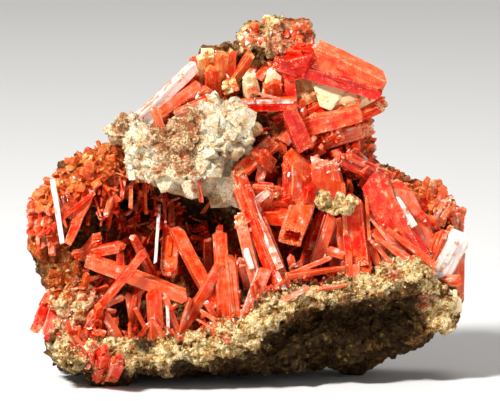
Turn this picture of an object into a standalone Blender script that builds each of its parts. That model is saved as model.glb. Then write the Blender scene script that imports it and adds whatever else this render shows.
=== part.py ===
"""Crocoite specimen: orange-red prisms crossing at all angles in a hollow of rough gossan, under a cream block.

Units are millimetres until the last step, which scales to metres. Places are read off the front of the
specimen: millimetres across from the left datum, down from the top datum, and depth towards the back.
"""

import math
import random

import bmesh
import bpy
from mathutils import Euler, Matrix, Vector, noise
from mathutils.bvhtree import BVHTree

MM = 0.001
MIDDLE_ACROSS = 50.0
TABLE_DOWN = 75.5
SEEN_FROM_ABOVE = math.radians(8)
GAP = 0.3
ROCK_GROWTH = 0.65
CUTTER_VOXEL = 0.9
CUTTER_THINNING = 0.2

ROCK_VOXEL = 1.1
ROCK_FACES = {"matrix": 2500, "cream_block": 520}
ROCK_BLOCKINESS = 0.45
ROCK_ROUGHNESS = 0.16
WOBBLE_SHIFTS = (Vector((7.1, 3.3, 1.7)), Vector((17.9, 41.3, 5.2)), Vector((31.7, 11.9, 23.6)))
REST_HEIGHT = 0.0

CORNER_CUT = 0.16
CORNER_CUT_FROM_WIDTH = 2.3
TIP_SLOPES = (24, 52)
SMALLEST_PIECE = 1.2
RAY = Vector((0.31, 0.17, 0.93)).normalized()

GOSSAN = (0.32, 0.17, 0.07)
CREAM = (0.78, 0.62, 0.40)
CROCOITE = (0.80, 0.10, 0.02)
PALE = (0.72, 0.55, 0.32)

# Each lump of rock: middle (across, down, depth), then its half sizes across, down and deep.
MATRIX_LUMPS = [
    # Slab underneath, thin at the left and thick at the right.
    ((19.1, 71.2, -5.0), (8.3, 3.0, 12.0)),
    ((30.0, 70.8, -4.0), (10.5, 3.8, 14.0)),
    ((42.0, 69.8, -2.0), (11.5, 4.2, 15.0)),
    ((54.0, 66.8, -1.0), (11.5, 6.2, 14.0)),
    ((66.0, 64.6, 0.0), (12.0, 8.0, 13.0)),
    ((77.0, 61.8, 0.0), (9.5, 8.0, 12.0)),
    ((86.0, 60.6, 1.0), (5.4, 4.8, 11.0)),
    # Low places that it rests on.
    ((22.0, 75.4, -7.5), (4.6, 2.8, 5.2)),
    ((70.6, 71.8, 5.0), (3.6, 2.8, 4.8)),
    ((38.0, 72.0, 12.5), (7.0, 2.8, 4.5)),
    ((57.0, 72.0, 12.5), (6.0, 2.8, 4.5)),
    # Rim along the front of the slab, which overhangs the face below it.
    ((17.8, 70.0, -14.0), (6.5, 2.6, 5.0)),
    ((28.0, 70.4, -14.5), (7.0, 3.0, 5.0)),
    ((38.0, 69.0, -14.5), (7.5, 3.2, 5.5)),
    ((48.0, 66.4, -14.5), (6.5, 3.6, 5.5)),
    ((55.5, 61.6, -13.0), (5.5, 4.0, 5.5)),
    ((64.0, 59.4, -12.0), (7.0, 3.0, 6.0)),
    ((73.0, 57.4, -11.0), (6.5, 3.0, 6.0)),
    ((80.5, 55.2, -9.0), (5.5, 4.6, 6.0)),
    ((86.6, 59.8, -6.0), (4.0, 4.0, 5.0)),
    # Wall at the left, which leans over the hollow at its top.
    ((10.2, 44.4, 1.0), (3.9, 7.6, 8.0)),
    ((13.8, 39.6, 1.0), (4.2, 4.2, 7.5)),
    ((18.6, 35.0, 1.5), (5.0, 4.0, 7.5)),
    ((24.4, 32.8, 3.0), (5.5, 3.8, 7.0)),
    ((12.8, 54.6, -1.0), (4.6, 4.4, 8.5)),
    ((15.6, 61.0, -3.0), (5.6, 5.0, 9.0)),
    ((15.0, 66.8, -3.0), (5.2, 4.2, 9.5)),
    # Back of the hollow.
    ((20.0, 46.0, 10.5), (11.5, 13.0, 5.4)),
    ((23.0, 61.0, 9.0), (11.0, 9.0, 6.0)),
    ((35.0, 50.0, 11.0), (13.0, 17.0, 5.4)),
    ((38.0, 63.0, 9.5), (12.0, 9.0, 6.5)),
    ((52.0, 47.0, 10.0), (12.0, 18.0, 6.0)),
    ((66.0, 45.0, 8.5), (12.0, 15.0, 6.5)),
    ((80.0, 47.0, 6.0), (9.0, 9.5, 7.0)),
    # Mass behind the upper crystals, and its crest falling away to the right.
    ((28.0, 32.0, 3.0), (6.0, 3.8, 6.0)),
    ((38.0, 32.0, 4.0), (9.0, 6.0, 6.0)),
    ((36.8, 27.0, 5.5), (5.4, 7.0, 6.0)),
    ((42.0, 22.4, 5.5), (5.4, 7.6, 6.0)),
    ((48.0, 19.0, 5.0), (7.0, 8.4, 6.0)),
    ((57.0, 19.5, 4.5), (9.0, 10.5, 6.0)),
    ((66.5, 25.0, 4.5), (8.0, 8.5, 6.5)),
    ((57.5, 33.0, 4.5), (10.0, 7.0, 6.5)),
    ((71.6, 32.4, 4.0), (3.6, 4.4, 6.5)),
    ((76.6, 38.0, 4.0), (4.2, 4.6, 6.5)),
    ((83.0, 41.2, 3.5), (6.4, 4.4, 6.0)),
    ((88.2, 47.4, 3.0), (3.8, 7.8, 6.0)),
    ((44.2, 14.0, 2.5), (5.2, 5.6, 4.4)),
    # Knob of crust on the top.
    ((52.3, 8.2, 0.5), (4.3, 3.6, 5.0)),
    ((58.6, 8.0, 0.0), (4.4, 3.8, 5.0)),
    ((55.6, 10.0, 3.0), (5.4, 4.4, 5.0)),
]

CREAM_BLOCK_LUMPS = [
    ((29.6, 30.0, -7.0), (4.8, 5.6, 5.0)),
    ((36.0, 30.6, -8.0), (7.0, 6.4, 6.0)),
    ((43.5, 26.4, -7.5), (6.4, 6.0, 5.6)),
    ((38.5, 35.4, -6.5), (6.4, 3.2, 5.0)),
    ((44.6, 37.0, -4.5), (3.6, 4.0, 4.0)),
    ((23.8, 26.8, -6.0), (2.6, 2.0, 2.6)),
    ((25.6, 24.2, -5.6), (2.0, 1.7, 2.4)),
    ((48.0, 27.4, -6.5), (2.6, 2.6, 3.4)),
]

# Each crystal: root (across, down, depth), tip (across, down, depth), width across the view, thickness
# into the view, and the turn in degrees of its faces about its length. The names are used for the nodes.
CRYSTALS = {
    # Top right.
    "great_prism": ((61.8, 10.6, -7.0), (77.6, 18.0, -9.6), 4.0, 3.8, 22),
    "ruby_bridge": ((55.0, 11.0, -2.5), (77.0, 18.9, -6.6), 4.0, 4.0, 20),
    "crown_knuckle": ((57.0, 10.6, -1.5), (63.2, 8.4, -9.4), 3.0, 2.8, 15),
    "upper_lath": ((60.6, 25.6, -4.5), (72.8, 22.5, -9.0), 3.2, 2.6, 10),
    "pale_tipped_lath": ((67.0, 25.2, -2.0), (78.1, 20.3, -8.0), 2.6, 2.4, 40),
    "lower_lath": ((65.0, 28.2, -1.0), (74.8, 25.5, -6.0), 3.2, 2.6, 0),
    "orange_stub": ((62.6, 29.4, 0.0), (68.6, 26.0, -7.0), 2.8, 2.4, 30),
    "crown_needle_1": ((71.3, 16.8, -6.0), (71.5, 21.3, -7.6), 0.9, 0.8, 30),
    "crown_needle_2": ((73.3, 17.2, -6.6), (73.8, 20.5, -8.2), 0.8, 0.8, 0),
    "pocket_bar_1": ((58.6, 24.2, -1.0), (64.9, 20.6, -5.4), 1.8, 1.6, 20),
    "pocket_bar_2": ((60.4, 25.2, -1.5), (65.0, 22.5, -6.4), 1.6, 1.4, 45),
    "pink_top_bar": ((48.2, 20.9, -3.0), (59.8, 20.7, -10.4), 2.2, 2.0, 38),
    "upper_strut": ((60.8, 29.4, -5.5), (56.9, 20.8, -9.6), 3.0, 2.6, 12),
    "red_upright": ((58.0, 22.0, -4.5), (57.8, 12.4, -4.0), 2.2, 2.0, 8),
    "pale_blade": ((48.6, 17.0, -5.5), (57.4, 20.0, -10.8), 1.1, 0.9, 0),
    "salmon_face": ((55.0, 21.4, -1.0), (54.2, 16.2, -6.2), 3.6, 3.0, 5),
    "shaded_bar_1": ((56.2, 9.8, -1.5), (51.3, 16.4, -5.0), 1.9, 1.7, 20),
    "shaded_bar_2": ((53.6, 10.4, -0.5), (49.2, 15.6, -4.4), 1.5, 1.4, 0),
    # Centre.
    "left_block": ((59.8, 42.4, -5.0), (60.0, 28.8, -8.6), 4.8, 4.4, 28),
    "right_block": ((66.4, 39.6, -6.0), (63.2, 29.8, -8.8), 5.4, 4.6, -8),
    "red_facet": ((58.8, 43.0, -5.0), (63.2, 36.2, -11.6), 3.2, 3.0, 40),
    "throat_prism": ((54.4, 35.4, 1.0), (51.6, 30.2, -10.4), 3.0, 2.6, 20),
    "pink_tablet": ((53.0, 31.6, -4.6), (51.7, 36.6, -8.6), 2.0, 1.3, 0),
    "glinting_cluster": ((49.6, 39.6, -5.0), (56.4, 37.4, -11.0), 2.6, 2.2, 30),
    "shadow_prism": ((53.0, 38.6, -4.0), (61.0, 42.4, -7.5), 3.4, 3.0, 15),
    "broken_block": ((60.6, 40.0, -5.5), (57.7, 50.4, -13.4), 4.7, 4.2, 10),
    "block_stalk": ((59.4, 56.2, -10.0), (57.3, 48.6, -11.6), 1.6, 1.5, 0),
    "central_spear": ((57.6, 59.6, -13.0), (47.4, 33.6, -9.0), 4.0, 3.6, 45),
    "speckled_slab": ((53.4, 62.4, -11.0), (47.0, 43.0, -10.6), 3.2, 2.4, 0),
    "broken_stub": ((49.6, 57.0, -6.0), (48.4, 51.4, -12.6), 2.0, 1.9, 0),
    "rim_lath": ((48.6, 65.4, -13.8), (53.2, 53.2, -13.4), 2.9, 2.0, 8),
    "ember_prism": ((60.4, 56.4, -5.0), (65.6, 41.4, -3.0), 3.4, 2.8, 12),
    "low_fan_1": ((57.8, 54.8, -13.4), (66.4, 51.2, -12.4), 0.9, 0.8, 0),
    "low_fan_2": ((57.0, 55.2, -14.2), (69.4, 53.3, -12.6), 1.6, 1.2, 20),
    "salmon_bar": ((62.2, 49.0, -6.0), (69.8, 51.4, -10.8), 1.5, 1.3, 15),
    "slot_needle_1": ((66.3, 56.6, -6.0), (66.4, 45.4, -5.4), 1.3, 1.1, 20),
    "slot_needle_2": ((67.6, 56.4, -5.0), (67.4, 44.4, -4.8), 1.0, 0.9, 0),
    "ruby_prism": ((71.6, 57.4, -10.6), (70.2, 35.2, -8.4), 4.7, 4.0, -14),
    "rim_sliver_1": ((55.8, 60.2, -17.6), (61.8, 57.1, -19.0), 1.0, 0.9, 0),
    "rim_sliver_2": ((63.4, 57.8, -16.6), (69.6, 56.6, -18.4), 1.1, 0.9, 30),
    # Right.
    "fan_prism_1": ((82.6, 52.8, -7.0), (73.4, 34.2, -8.4), 5.0, 3.6, -10),
    "fan_prism_2": ((85.8, 51.6, -6.4), (77.0, 34.8, -7.0), 3.2, 2.6, 25),
    "fan_plate": ((86.4, 43.8, 0.0), (76.8, 36.0, -4.6), 3.6, 2.0, 8),
    "low_fan_prism": ((86.0, 52.0, -7.4), (72.8, 44.4, -10.8), 4.4, 3.0, 20),
    "shoulder_prism": ((78.4, 36.6, -1.5), (66.8, 31.0, -7.6), 3.6, 3.2, 15),
    "pale_edge_blade": ((75.2, 34.6, 0.0), (68.8, 29.4, -4.6), 2.0, 1.6, 40),
    "fan_needle_1": ((76.2, 55.4, -9.6), (72.8, 45.2, -8.6), 1.6, 1.4, 10),
    "fan_needle_2": ((78.2, 54.8, -9.0), (74.6, 46.0, -9.0), 1.3, 1.1, 30),
    "hollow_prism": ((84.6, 44.4, 2.0), (83.4, 42.9, -10.0), 4.0, 3.8, 10),
    "flank_upright": ((85.4, 44.6, 0.0), (86.5, 35.8, -3.0), 2.1, 1.8, 12),
    "flank_stub": ((88.0, 46.0, 0.0), (90.4, 39.4, -3.6), 2.4, 2.0, 0),
    "white_edge_prism": ((87.2, 57.0, -5.0), (92.0, 46.8, -7.0), 3.5, 3.0, 18),
    "edge_post": ((91.4, 60.0, -2.5), (91.9, 48.8, -4.2), 2.5, 2.2, 20),
    "edge_bar": ((86.0, 56.2, -5.0), (92.4, 56.5, -8.6), 1.8, 1.7, 30),
    "right_lance": ((84.8, 55.4, -7.6), (88.8, 45.6, -6.8), 2.5, 2.2, 25),
    # Hollow, middle.
    "column_left": ((45.2, 69.0, -11.6), (44.0, 44.6, -7.6), 2.5, 2.2, 12),
    "column_right": ((47.8, 68.4, -11.0), (46.0, 50.2, -9.0), 2.1, 1.8, -10),
    "foot_lath": ((46.0, 68.0, -12.6), (41.0, 59.8, -14.0), 1.2, 1.1, 0),
    "rising_lath": ((34.8, 68.4, -11.0), (44.4, 52.2, -9.8), 1.9, 1.6, 20),
    "leaning_prism": ((43.4, 61.4, -9.2), (34.6, 44.8, -5.4), 2.7, 2.2, 20),
    "back_stub": ((41.7, 60.6, 8.0), (41.4, 47.4, -3.4), 1.8, 1.6, 10),
    "broad_prism": ((34.8, 41.6, 10.0), (33.7, 56.2, -10.6), 3.6, 2.4, 10),
    "white_needle": ((31.9, 39.0, 8.0), (31.2, 52.6, -11.6), 0.7, 0.6, 0),
    "standing_prism": ((31.5, 69.4, -11.4), (30.8, 57.0, -12.8), 2.7, 2.2, 14),
    "small_spear": ((36.4, 68.4, -12.0), (33.1, 59.0, -13.2), 1.2, 1.0, 20),
    "glint_sliver": ((33.9, 68.0, -14.0), (33.6, 60.8, -14.2), 0.7, 0.6, 0),
    "leaning_needle": ((36.0, 67.0, -12.4), (38.2, 59.2, -13.6), 0.9, 0.8, 30),
    # Hollow, left.
    "cross_bar": ((17.6, 51.8, -8.0), (38.4, 59.6, -13.4), 2.7, 2.2, 16),
    "crossing_lath": ((19.2, 62.4, -11.4), (29.4, 50.0, -15.6), 1.6, 1.3, 10),
    "orange_stalk": ((31.8, 58.0, -3.0), (26.7, 47.0, -11.6), 1.6, 1.4, 30),
    "end_face_bar": ((14.6, 51.2, -4.0), (25.5, 49.1, -12.2), 2.0, 1.9, 8),
    "red_chunk": ((16.6, 51.6, -5.0), (20.6, 46.4, -9.6), 2.2, 1.8, 30),
    "short_post": ((24.2, 56.8, -9.0), (24.2, 50.0, -9.6), 1.7, 1.5, 10),
    "shaded_post": ((25.6, 70.0, -6.0), (27.9, 57.2, -8.0), 1.9, 1.6, 0),
    "thin_leaner": ((31.4, 69.6, -9.6), (27.0, 61.2, -12.4), 0.9, 0.8, 20),
    "end_on_prism": ((21.2, 42.0, 9.0), (20.6, 42.8, -8.0), 2.2, 2.1, 22),
    "salmon_leaner": ((25.0, 69.6, -11.0), (20.8, 62.2, -12.0), 2.0, 1.6, 10),
    "low_needle": ((22.0, 69.0, -9.0), (20.0, 63.4, -11.6), 1.1, 1.0, 0),
    "red_wedge": ((15.8, 67.6, -8.0), (19.7, 62.0, -12.4), 1.9, 1.6, 30),
    "pale_lath": ((19.6, 61.6, -9.0), (25.2, 59.0, -12.6), 1.3, 1.0, 0),
    # Left wall.
    "left_lance": ((20.2, 33.6, -3.0), (13.9, 49.4, -12.0), 2.3, 1.8, 18),
    "glint_blade": ((11.0, 35.4, -3.0), (12.9, 48.6, -11.4), 1.4, 1.0, 0),
    "crossing_blade": ((17.6, 40.2, -7.0), (9.4, 46.5, -12.8), 1.0, 0.8, 10),
    "left_slat": ((10.2, 36.4, -3.0), (11.1, 42.6, -9.4), 1.0, 0.8, 20),
    "wall_block": ((13.4, 37.6, -2.0), (15.4, 42.4, -8.4), 2.2, 2.0, 20),
    "roof_needle_1": ((21.6, 33.0, -1.0), (20.9, 39.2, -8.0), 0.9, 0.8, 0),
    "roof_needle_2": ((24.2, 33.6, -1.0), (21.4, 43.2, -9.6), 1.1, 0.9, 30),
    "roof_needle_3": ((26.4, 34.0, 0.0), (26.2, 41.8, -6.6), 0.8, 0.7, 0),
    "foot_prism": ((11.8, 56.8, -4.0), (6.9, 66.8, -8.0), 3.3, 2.8, 18),
    "foot_blade": ((12.0, 58.0, -6.0), (8.9, 68.0, -10.0), 1.9, 1.8, 35),
    # Low front cluster.
    "front_prism_1": ((20.2, 74.2, -12.0), (18.5, 68.0, -22.4), 2.1, 1.8, 20),
    "front_prism_2": ((20.0, 75.0, -12.0), (21.4, 69.2, -23.0), 2.5, 2.2, 35),
    "front_prism_3": ((22.4, 75.2, -12.6), (24.2, 71.0, -23.2), 2.4, 2.0, 10),
    # Top left.
    "silver_prism": ((28.4, 23.8, -3.4), (39.6, 12.8, -4.4), 2.6, 2.2, 25),
    "amber_crest": ((41.2, 18.0, 1.0), (41.4, 9.0, -5.4), 3.2, 2.6, 10),
    "crest_blade_1": ((44.6, 18.6, 0.0), (45.6, 8.6, -5.0), 2.9, 2.2, 20),
    "crest_blade_2": ((45.4, 17.4, 1.0), (49.0, 9.0, -5.4), 2.1, 1.8, 0),
    "crest_blade_3": ((44.8, 18.6, -1.0), (50.6, 11.0, -5.0), 1.7, 1.4, 30),
    "crest_face": ((43.2, 19.0, -1.0), (42.8, 11.8, -3.8), 3.1, 2.4, 8),
    "crest_knuckle": ((46.6, 16.4, 0.0), (45.9, 17.9, -7.4), 2.9, 2.6, 20),
    "crest_bar_1": ((31.6, 23.0, -3.4), (40.4, 16.6, -5.2), 2.1, 1.8, 0),
    "crest_bar_2": ((33.6, 20.6, 0.0), (38.8, 14.8, -2.6), 1.8, 1.5, 20),
    "crest_bar_3": ((35.4, 23.0, -5.0), (42.8, 19.9, -8.4), 1.9, 1.6, 15),
    "crest_bar_4": ((34.8, 21.6, -2.0), (42.6, 18.0, -5.8), 2.3, 1.9, 40),
    "block_prism_1": ((33.0, 27.6, -9.0), (30.7, 21.4, -8.6), 1.7, 1.5, 10),
    "crown_tooth_1": ((53.6, 7.6, 0.0), (53.2, 2.8, -2.4), 1.8, 1.6, 30),
    "crown_tooth_2": ((58.4, 8.0, 0.0), (59.3, 2.8, -5.4), 3.0, 2.6, 18),
    "crown_tooth_3": ((50.2, 9.6, 0.0), (48.3, 4.6, -4.0), 1.6, 1.4, 10),
}

# Pale, cream-coloured crystals and cleavages between the red ones.
PALE_CRYSTALS = {
    "pale_wedge": ((65.2, 22.6, 3.0), (63.0, 17.4, -6.4), 3.2, 2.4, 30),
    "tan_tablet": ((67.4, 23.0, 3.0), (69.6, 20.2, -6.6), 3.6, 2.6, 10),
    "pale_tooth": ((55.2, 18.0, 3.0), (55.0, 13.8, -3.8), 2.8, 2.0, 20),
    "tan_crystal": ((52.6, 25.4, 3.0), (53.6, 25.6, -6.4), 3.4, 3.0, 30),
    "pale_cleavage": ((86.4, 62.6, -4.0), (89.8, 57.4, -13.0), 3.7, 2.8, 0),
    "cream_ledge": ((63.0, 40.8, -8.6), (69.4, 40.0, -13.6), 2.8, 2.2, 20),
}


def spot(place):
    """A place as it is seen from the front and a little above, in millimetres in the part's own frame."""
    across, down, depth = place
    height = (TABLE_DOWN - down - depth * math.sin(SEEN_FROM_ABOVE)) / math.cos(SEEN_FROM_ABOVE)
    return Vector((across - MIDDLE_ACROSS, depth, height))


def new_object(name, mesh, collection):
    obj = bpy.data.objects.new(name, mesh)
    collection.objects.link(obj)
    return obj


def mesh_from(bm, name):
    mesh = bpy.data.meshes.new(name)
    bmesh.ops.recalc_face_normals(bm, faces=bm.faces)
    bm.to_mesh(mesh)
    bm.free()
    return mesh


def apply_modifiers(obj):
    """Turns what the modifiers show into the object's own mesh."""
    graph = bpy.context.evaluated_depsgraph_get()
    made = bpy.data.meshes.new_from_object(obj.evaluated_get(graph))
    obj.modifiers.clear()
    obj.data = made


def boolean(obj, operation, other):
    modifier = obj.modifiers.new(operation.title(), "BOOLEAN")
    modifier.operation = operation
    modifier.solver = "EXACT"
    modifier.object = other
    apply_modifiers(obj)


def add_lump(bm, place, half_sizes, rng):
    """One boulder: a ball pushed towards a box, stretched, tilted a little and roughened."""
    ball = bmesh.ops.create_icosphere(bm, subdivisions=4, radius=1.0)["verts"]
    tilt = Euler([math.radians(rng.uniform(-9, 9)) for _ in range(3)]).to_matrix()
    half_across, half_down, half_deep = half_sizes
    stretch = Matrix.Diagonal((half_across, half_deep, half_down))
    offset = Vector([rng.uniform(-50, 50) for _ in range(3)])
    middle = spot(place)
    for vert in ball:
        point = vert.co.copy()
        box_point = point / max(abs(c) for c in point)
        point = point.lerp(box_point, ROCK_BLOCKINESS)
        point *= 1.0 + ROCK_ROUGHNESS * noise.noise(point * 1.8 + offset)
        vert.co = middle + tilt @ (stretch @ point)


def wobble(point, detail):
    """A smooth push that differs from place to place, up to about one unit each way."""
    return Vector([noise.noise(point * detail + shift) for shift in WOBBLE_SHIFTS])


def rock(name, lumps, seed, collection):
    """A rough rock: boulders run together, thinned to plain facets."""
    rng = random.Random(seed)
    bm = bmesh.new()
    for place, half_sizes in lumps:
        add_lump(bm, place, half_sizes, rng)
    obj = new_object(name, mesh_from(bm, name), collection)
    remesh = obj.modifiers.new("Run together", "REMESH")
    remesh.mode = "VOXEL"
    remesh.voxel_size = ROCK_VOXEL
    apply_modifiers(obj)
    for vert in obj.data.vertices:
        vert.co += wobble(vert.co, 0.22) * 1.1 + wobble(vert.co, 0.6) * 0.5
    thin = obj.modifiers.new("Facets", "DECIMATE")
    thin.ratio = ROCK_FACES[name] / (2 * len(obj.data.polygons))
    apply_modifiers(obj)
    return obj


def cut_flat(obj, height):
    """Cuts the rock off flat where it rests, and closes the cut."""
    bm = bmesh.new()
    bm.from_mesh(obj.data)
    cut = bmesh.ops.bisect_plane(
        bm,
        geom=bm.verts[:] + bm.edges[:] + bm.faces[:],
        dist=1e-4,
        plane_co=(0, 0, height),
        plane_no=(0, 0, -1),
        clear_outer=True,
    )
    edges = [e for e in cut["geom_cut"] if isinstance(e, bmesh.types.BMEdge)]
    bmesh.ops.edgenet_fill(bm, edges=edges)
    bmesh.ops.recalc_face_normals(bm, faces=bm.faces)
    bm.to_mesh(obj.data)
    bm.free()


def grown(obj, collection):
    """A copy of a rock with its skin moved out, for cutting a gap round it."""
    mesh = obj.data.copy()
    copy = new_object(obj.name + "_cutter", mesh, collection)
    normals = [v.normal.copy() for v in mesh.vertices]
    for vert, normal in zip(mesh.vertices, normals):
        vert.co += normal * ROCK_GROWTH
    remesh = copy.modifiers.new("Run together", "REMESH")
    remesh.mode = "VOXEL"
    remesh.voxel_size = CUTTER_VOXEL
    thin = copy.modifiers.new("Facets", "DECIMATE")
    thin.ratio = CUTTER_THINNING
    apply_modifiers(copy)
    return copy


def axes_along(direction, turn):
    """Sideways and outward directions of a crystal, as its front is seen, turned about its length."""
    towards_viewer = Vector((0, -1, 0))
    if abs(direction.dot(towards_viewer)) > 0.9:
        towards_viewer = Vector((0, 0, 1))
    side = towards_viewer.cross(direction).normalized()
    out = direction.cross(side)
    spin = Matrix.Rotation(math.radians(turn), 3, direction)
    return spin @ side, spin @ out


def crystal_mesh(name, row, seed):
    """One prism: a box with its long edges cut, and a slanting face across its tip."""
    root, tip, width, thickness, turn = row
    start, end = spot(root), spot(tip)
    along = (end - start).normalized()
    side, out = axes_along(along, turn)
    length = (end - start).length
    rng = random.Random(seed)
    bm = bmesh.new()
    bmesh.ops.create_cube(bm, size=1.0)
    bmesh.ops.translate(bm, verts=bm.verts, vec=(0, 0, 0.5))
    bmesh.ops.scale(bm, verts=bm.verts, vec=(width, thickness, length))
    if width >= CORNER_CUT_FROM_WIDTH:
        long_edges = [e for e in bm.edges if abs(e.verts[0].co.z - e.verts[1].co.z) > 0.5 * length]
        bmesh.ops.bevel(
            bm, geom=long_edges, offset=CORNER_CUT * width, segments=1, profile=0.5, affect="EDGES", material=-1
        )
    slope = math.radians(rng.uniform(*TIP_SLOPES))
    heading = rng.uniform(0, 2 * math.pi)
    lean = Vector((math.cos(heading), math.sin(heading), 0)) * math.sin(slope)
    reach = 0.4 * width * math.tan(slope)
    cut = bmesh.ops.bisect_plane(
        bm,
        geom=bm.verts[:] + bm.edges[:] + bm.faces[:],
        dist=1e-4,
        plane_co=(0, 0, length - reach),
        plane_no=lean + Vector((0, 0, math.cos(slope))),
        clear_outer=True,
    )
    edges = [e for e in cut["geom_cut"] if isinstance(e, bmesh.types.BMEdge)]
    bmesh.ops.edgenet_fill(bm, edges=edges)
    frame = Matrix((side, out, along)).transposed().to_4x4()
    bmesh.ops.transform(bm, matrix=Matrix.Translation(start) @ frame, verts=bm.verts)
    return mesh_from(bm, name)


def tree_of(mesh):
    return BVHTree.FromPolygons([v.co for v in mesh.vertices], [p.vertices for p in mesh.polygons])


def grown_together(meshes):
    """Sorts the crystals into groups that run into each other."""
    names = list(meshes)
    trees = {name: tree_of(meshes[name]) for name in names}
    group = {name: [name] for name in names}
    for i, first in enumerate(names):
        for second in names[i + 1 :]:
            if group[first] is not group[second] and trees[first].overlap(trees[second]):
                group[first].extend(group[second])
                for member in group[second]:
                    group[member] = group[first]
    groups = []
    for name in names:
        if group[name] not in groups:
            groups.append(group[name])
    return groups


def separate_pieces(obj):
    """Splits an object into its separate closed pieces."""
    bpy.ops.object.select_all(action="DESELECT")
    obj.select_set(True)
    bpy.context.view_layer.objects.active = obj
    before = set(bpy.data.objects)
    if obj.data.polygons:
        bpy.ops.mesh.separate(type="LOOSE")
    return [obj] + sorted(set(bpy.data.objects) - before, key=lambda made: made.name)


def volume_of(mesh):
    bm = bmesh.new()
    bm.from_mesh(mesh)
    volume = bm.calc_volume()
    bm.free()
    return volume


def is_inside(tree, point):
    """Whether a point is inside a closed surface: a ray from it leaves through an odd number of faces."""
    crossings = 0
    start = point.copy()
    while True:
        hit, _normal, _index, _distance = tree.ray_cast(start, RAY)
        if hit is None:
            return crossings % 2 == 1
        crossings += 1
        start = hit + RAY * 1e-4


def name_for(piece, members, middles):
    """The piece takes the name of the first crystal on the list whose length lies mostly in it."""
    tree = tree_of(piece.data)
    for member in members:
        if is_inside(tree, middles[member]):
            return member
    return None


def cut_and_name(joined, members, middles, cutters, material):
    """Frees a group of crystals from the rock, and keeps each piece that is large enough to see."""
    for cutter in cutters:
        boolean(joined, "DIFFERENCE", cutter)
    made = []
    for piece in separate_pieces(joined):
        name = None
        if volume_of(piece.data) > SMALLEST_PIECE:
            name = name_for(piece, members, middles)
        if name is None:
            bpy.data.objects.remove(piece)
            continue
        piece.name = name if len(members) == 1 else name + "_group"
        piece.data.materials.clear()
        piece.data.materials.append(material)
        made.append(piece)
    return made


def plant(families, material, cutters, collection, helpers):
    """Joins the crystals that run into each other, and makes a node of each piece left clear of the cutters."""
    meshes = {name: crystal_mesh(name, row, seed) for seed, (name, row) in enumerate(families.items())}
    middles = {name: spot(row[0]).lerp(spot(row[1]), 0.8) for name, row in families.items()}
    made = []
    for members in grown_together(meshes):
        members.sort(key=list(meshes).index)
        joined = new_object(members[0] + "_joined", meshes[members[0]], collection)
        for member in members[1:]:
            other = new_object(member + "_join", meshes[member], helpers)
            boolean(joined, "UNION", other)
            bpy.data.objects.remove(other)
        made.extend(cut_and_name(joined, members, middles, cutters, material))
    return made


def swollen_crystals(families, by, helpers):
    """Fatter copies of crystals, for cutting a gap round them."""
    made = []
    for seed, (name, row) in enumerate(families.items()):
        root, tip, width, thickness, turn = row
        copy = new_object(name + "_cutter", crystal_mesh(name, row, seed), helpers)
        centre = spot(root).lerp(spot(tip), 0.5)
        for vert in copy.data.vertices:
            vert.co += (vert.co - centre).normalized() * by
        made.append(copy)
    return made


def principled(name, colour, roughness):
    material = bpy.data.materials.new(name)
    material.use_nodes = True
    shader = material.node_tree.nodes["Principled BSDF"]
    shader.inputs["Base Color"].default_value = (*colour, 1.0)
    shader.inputs["Roughness"].default_value = roughness
    shader.inputs["Metallic"].default_value = 0.0
    return material


def finish_frame(objects):
    """Puts the middle of the whole specimen over the origin and turns millimetres into metres."""
    places = [v.co for obj in objects for v in obj.data.vertices]
    middle = [(min(p[axis] for p in places) + max(p[axis] for p in places)) / 2 for axis in range(2)]
    print("middle, mm:", middle)
    move = Matrix.Translation((-middle[0], -middle[1], 0))
    for obj in objects:
        obj.data.transform(Matrix.Scale(MM, 4) @ move)
        obj.data.update()


def main():
    for obj in list(bpy.data.objects):
        bpy.data.objects.remove(obj)
    specimen = bpy.data.collections.new("crocoite_specimen")
    helpers = bpy.data.collections.new("cutters")
    bpy.context.scene.collection.children.link(specimen)
    bpy.context.scene.collection.children.link(helpers)
    helpers.hide_render = True

    matrix = rock("matrix", MATRIX_LUMPS, 11, specimen)
    cut_flat(matrix, REST_HEIGHT)
    block = rock("cream_block", CREAM_BLOCK_LUMPS, 23, specimen)
    matrix_grown = grown(matrix, helpers)
    boolean(block, "DIFFERENCE", matrix_grown)
    block_grown = grown(block, helpers)
    matrix.data.materials.append(principled("gossan", GOSSAN, 0.9))
    block.data.materials.append(principled("cream_crust", CREAM, 0.85))

    crocoite = principled("crocoite", CROCOITE, 0.25)
    pale = principled("pale_crystal", PALE, 0.4)
    red = plant(CRYSTALS, crocoite, [matrix_grown, block_grown], specimen, helpers)
    cutters = [matrix_grown, block_grown] + swollen_crystals(CRYSTALS, GAP, helpers)
    plant(PALE_CRYSTALS, pale, cutters, specimen, helpers)
    for cutter in cutters:
        bpy.data.objects.remove(cutter)
    finish_frame(specimen.objects)
    print("nodes:", len(specimen.objects), "red pieces:", len(red))


main()
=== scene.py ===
"""Crocoite specimen, dressed: striated orange-red prisms and grains on gossan under a cream block.

The CAD frame gives the rock, the cream block and the place of every crystal. The operators below stand in for
its nodes with worn, striated and broken shapes, and add the small growth that the CAD leaves out.
"""

import math
import random

import bmesh
import bpy
import numpy as np
from bpy.props import FloatProperty, FloatVectorProperty, IntProperty, PointerProperty
from mathutils import Matrix, Vector, noise


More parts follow.
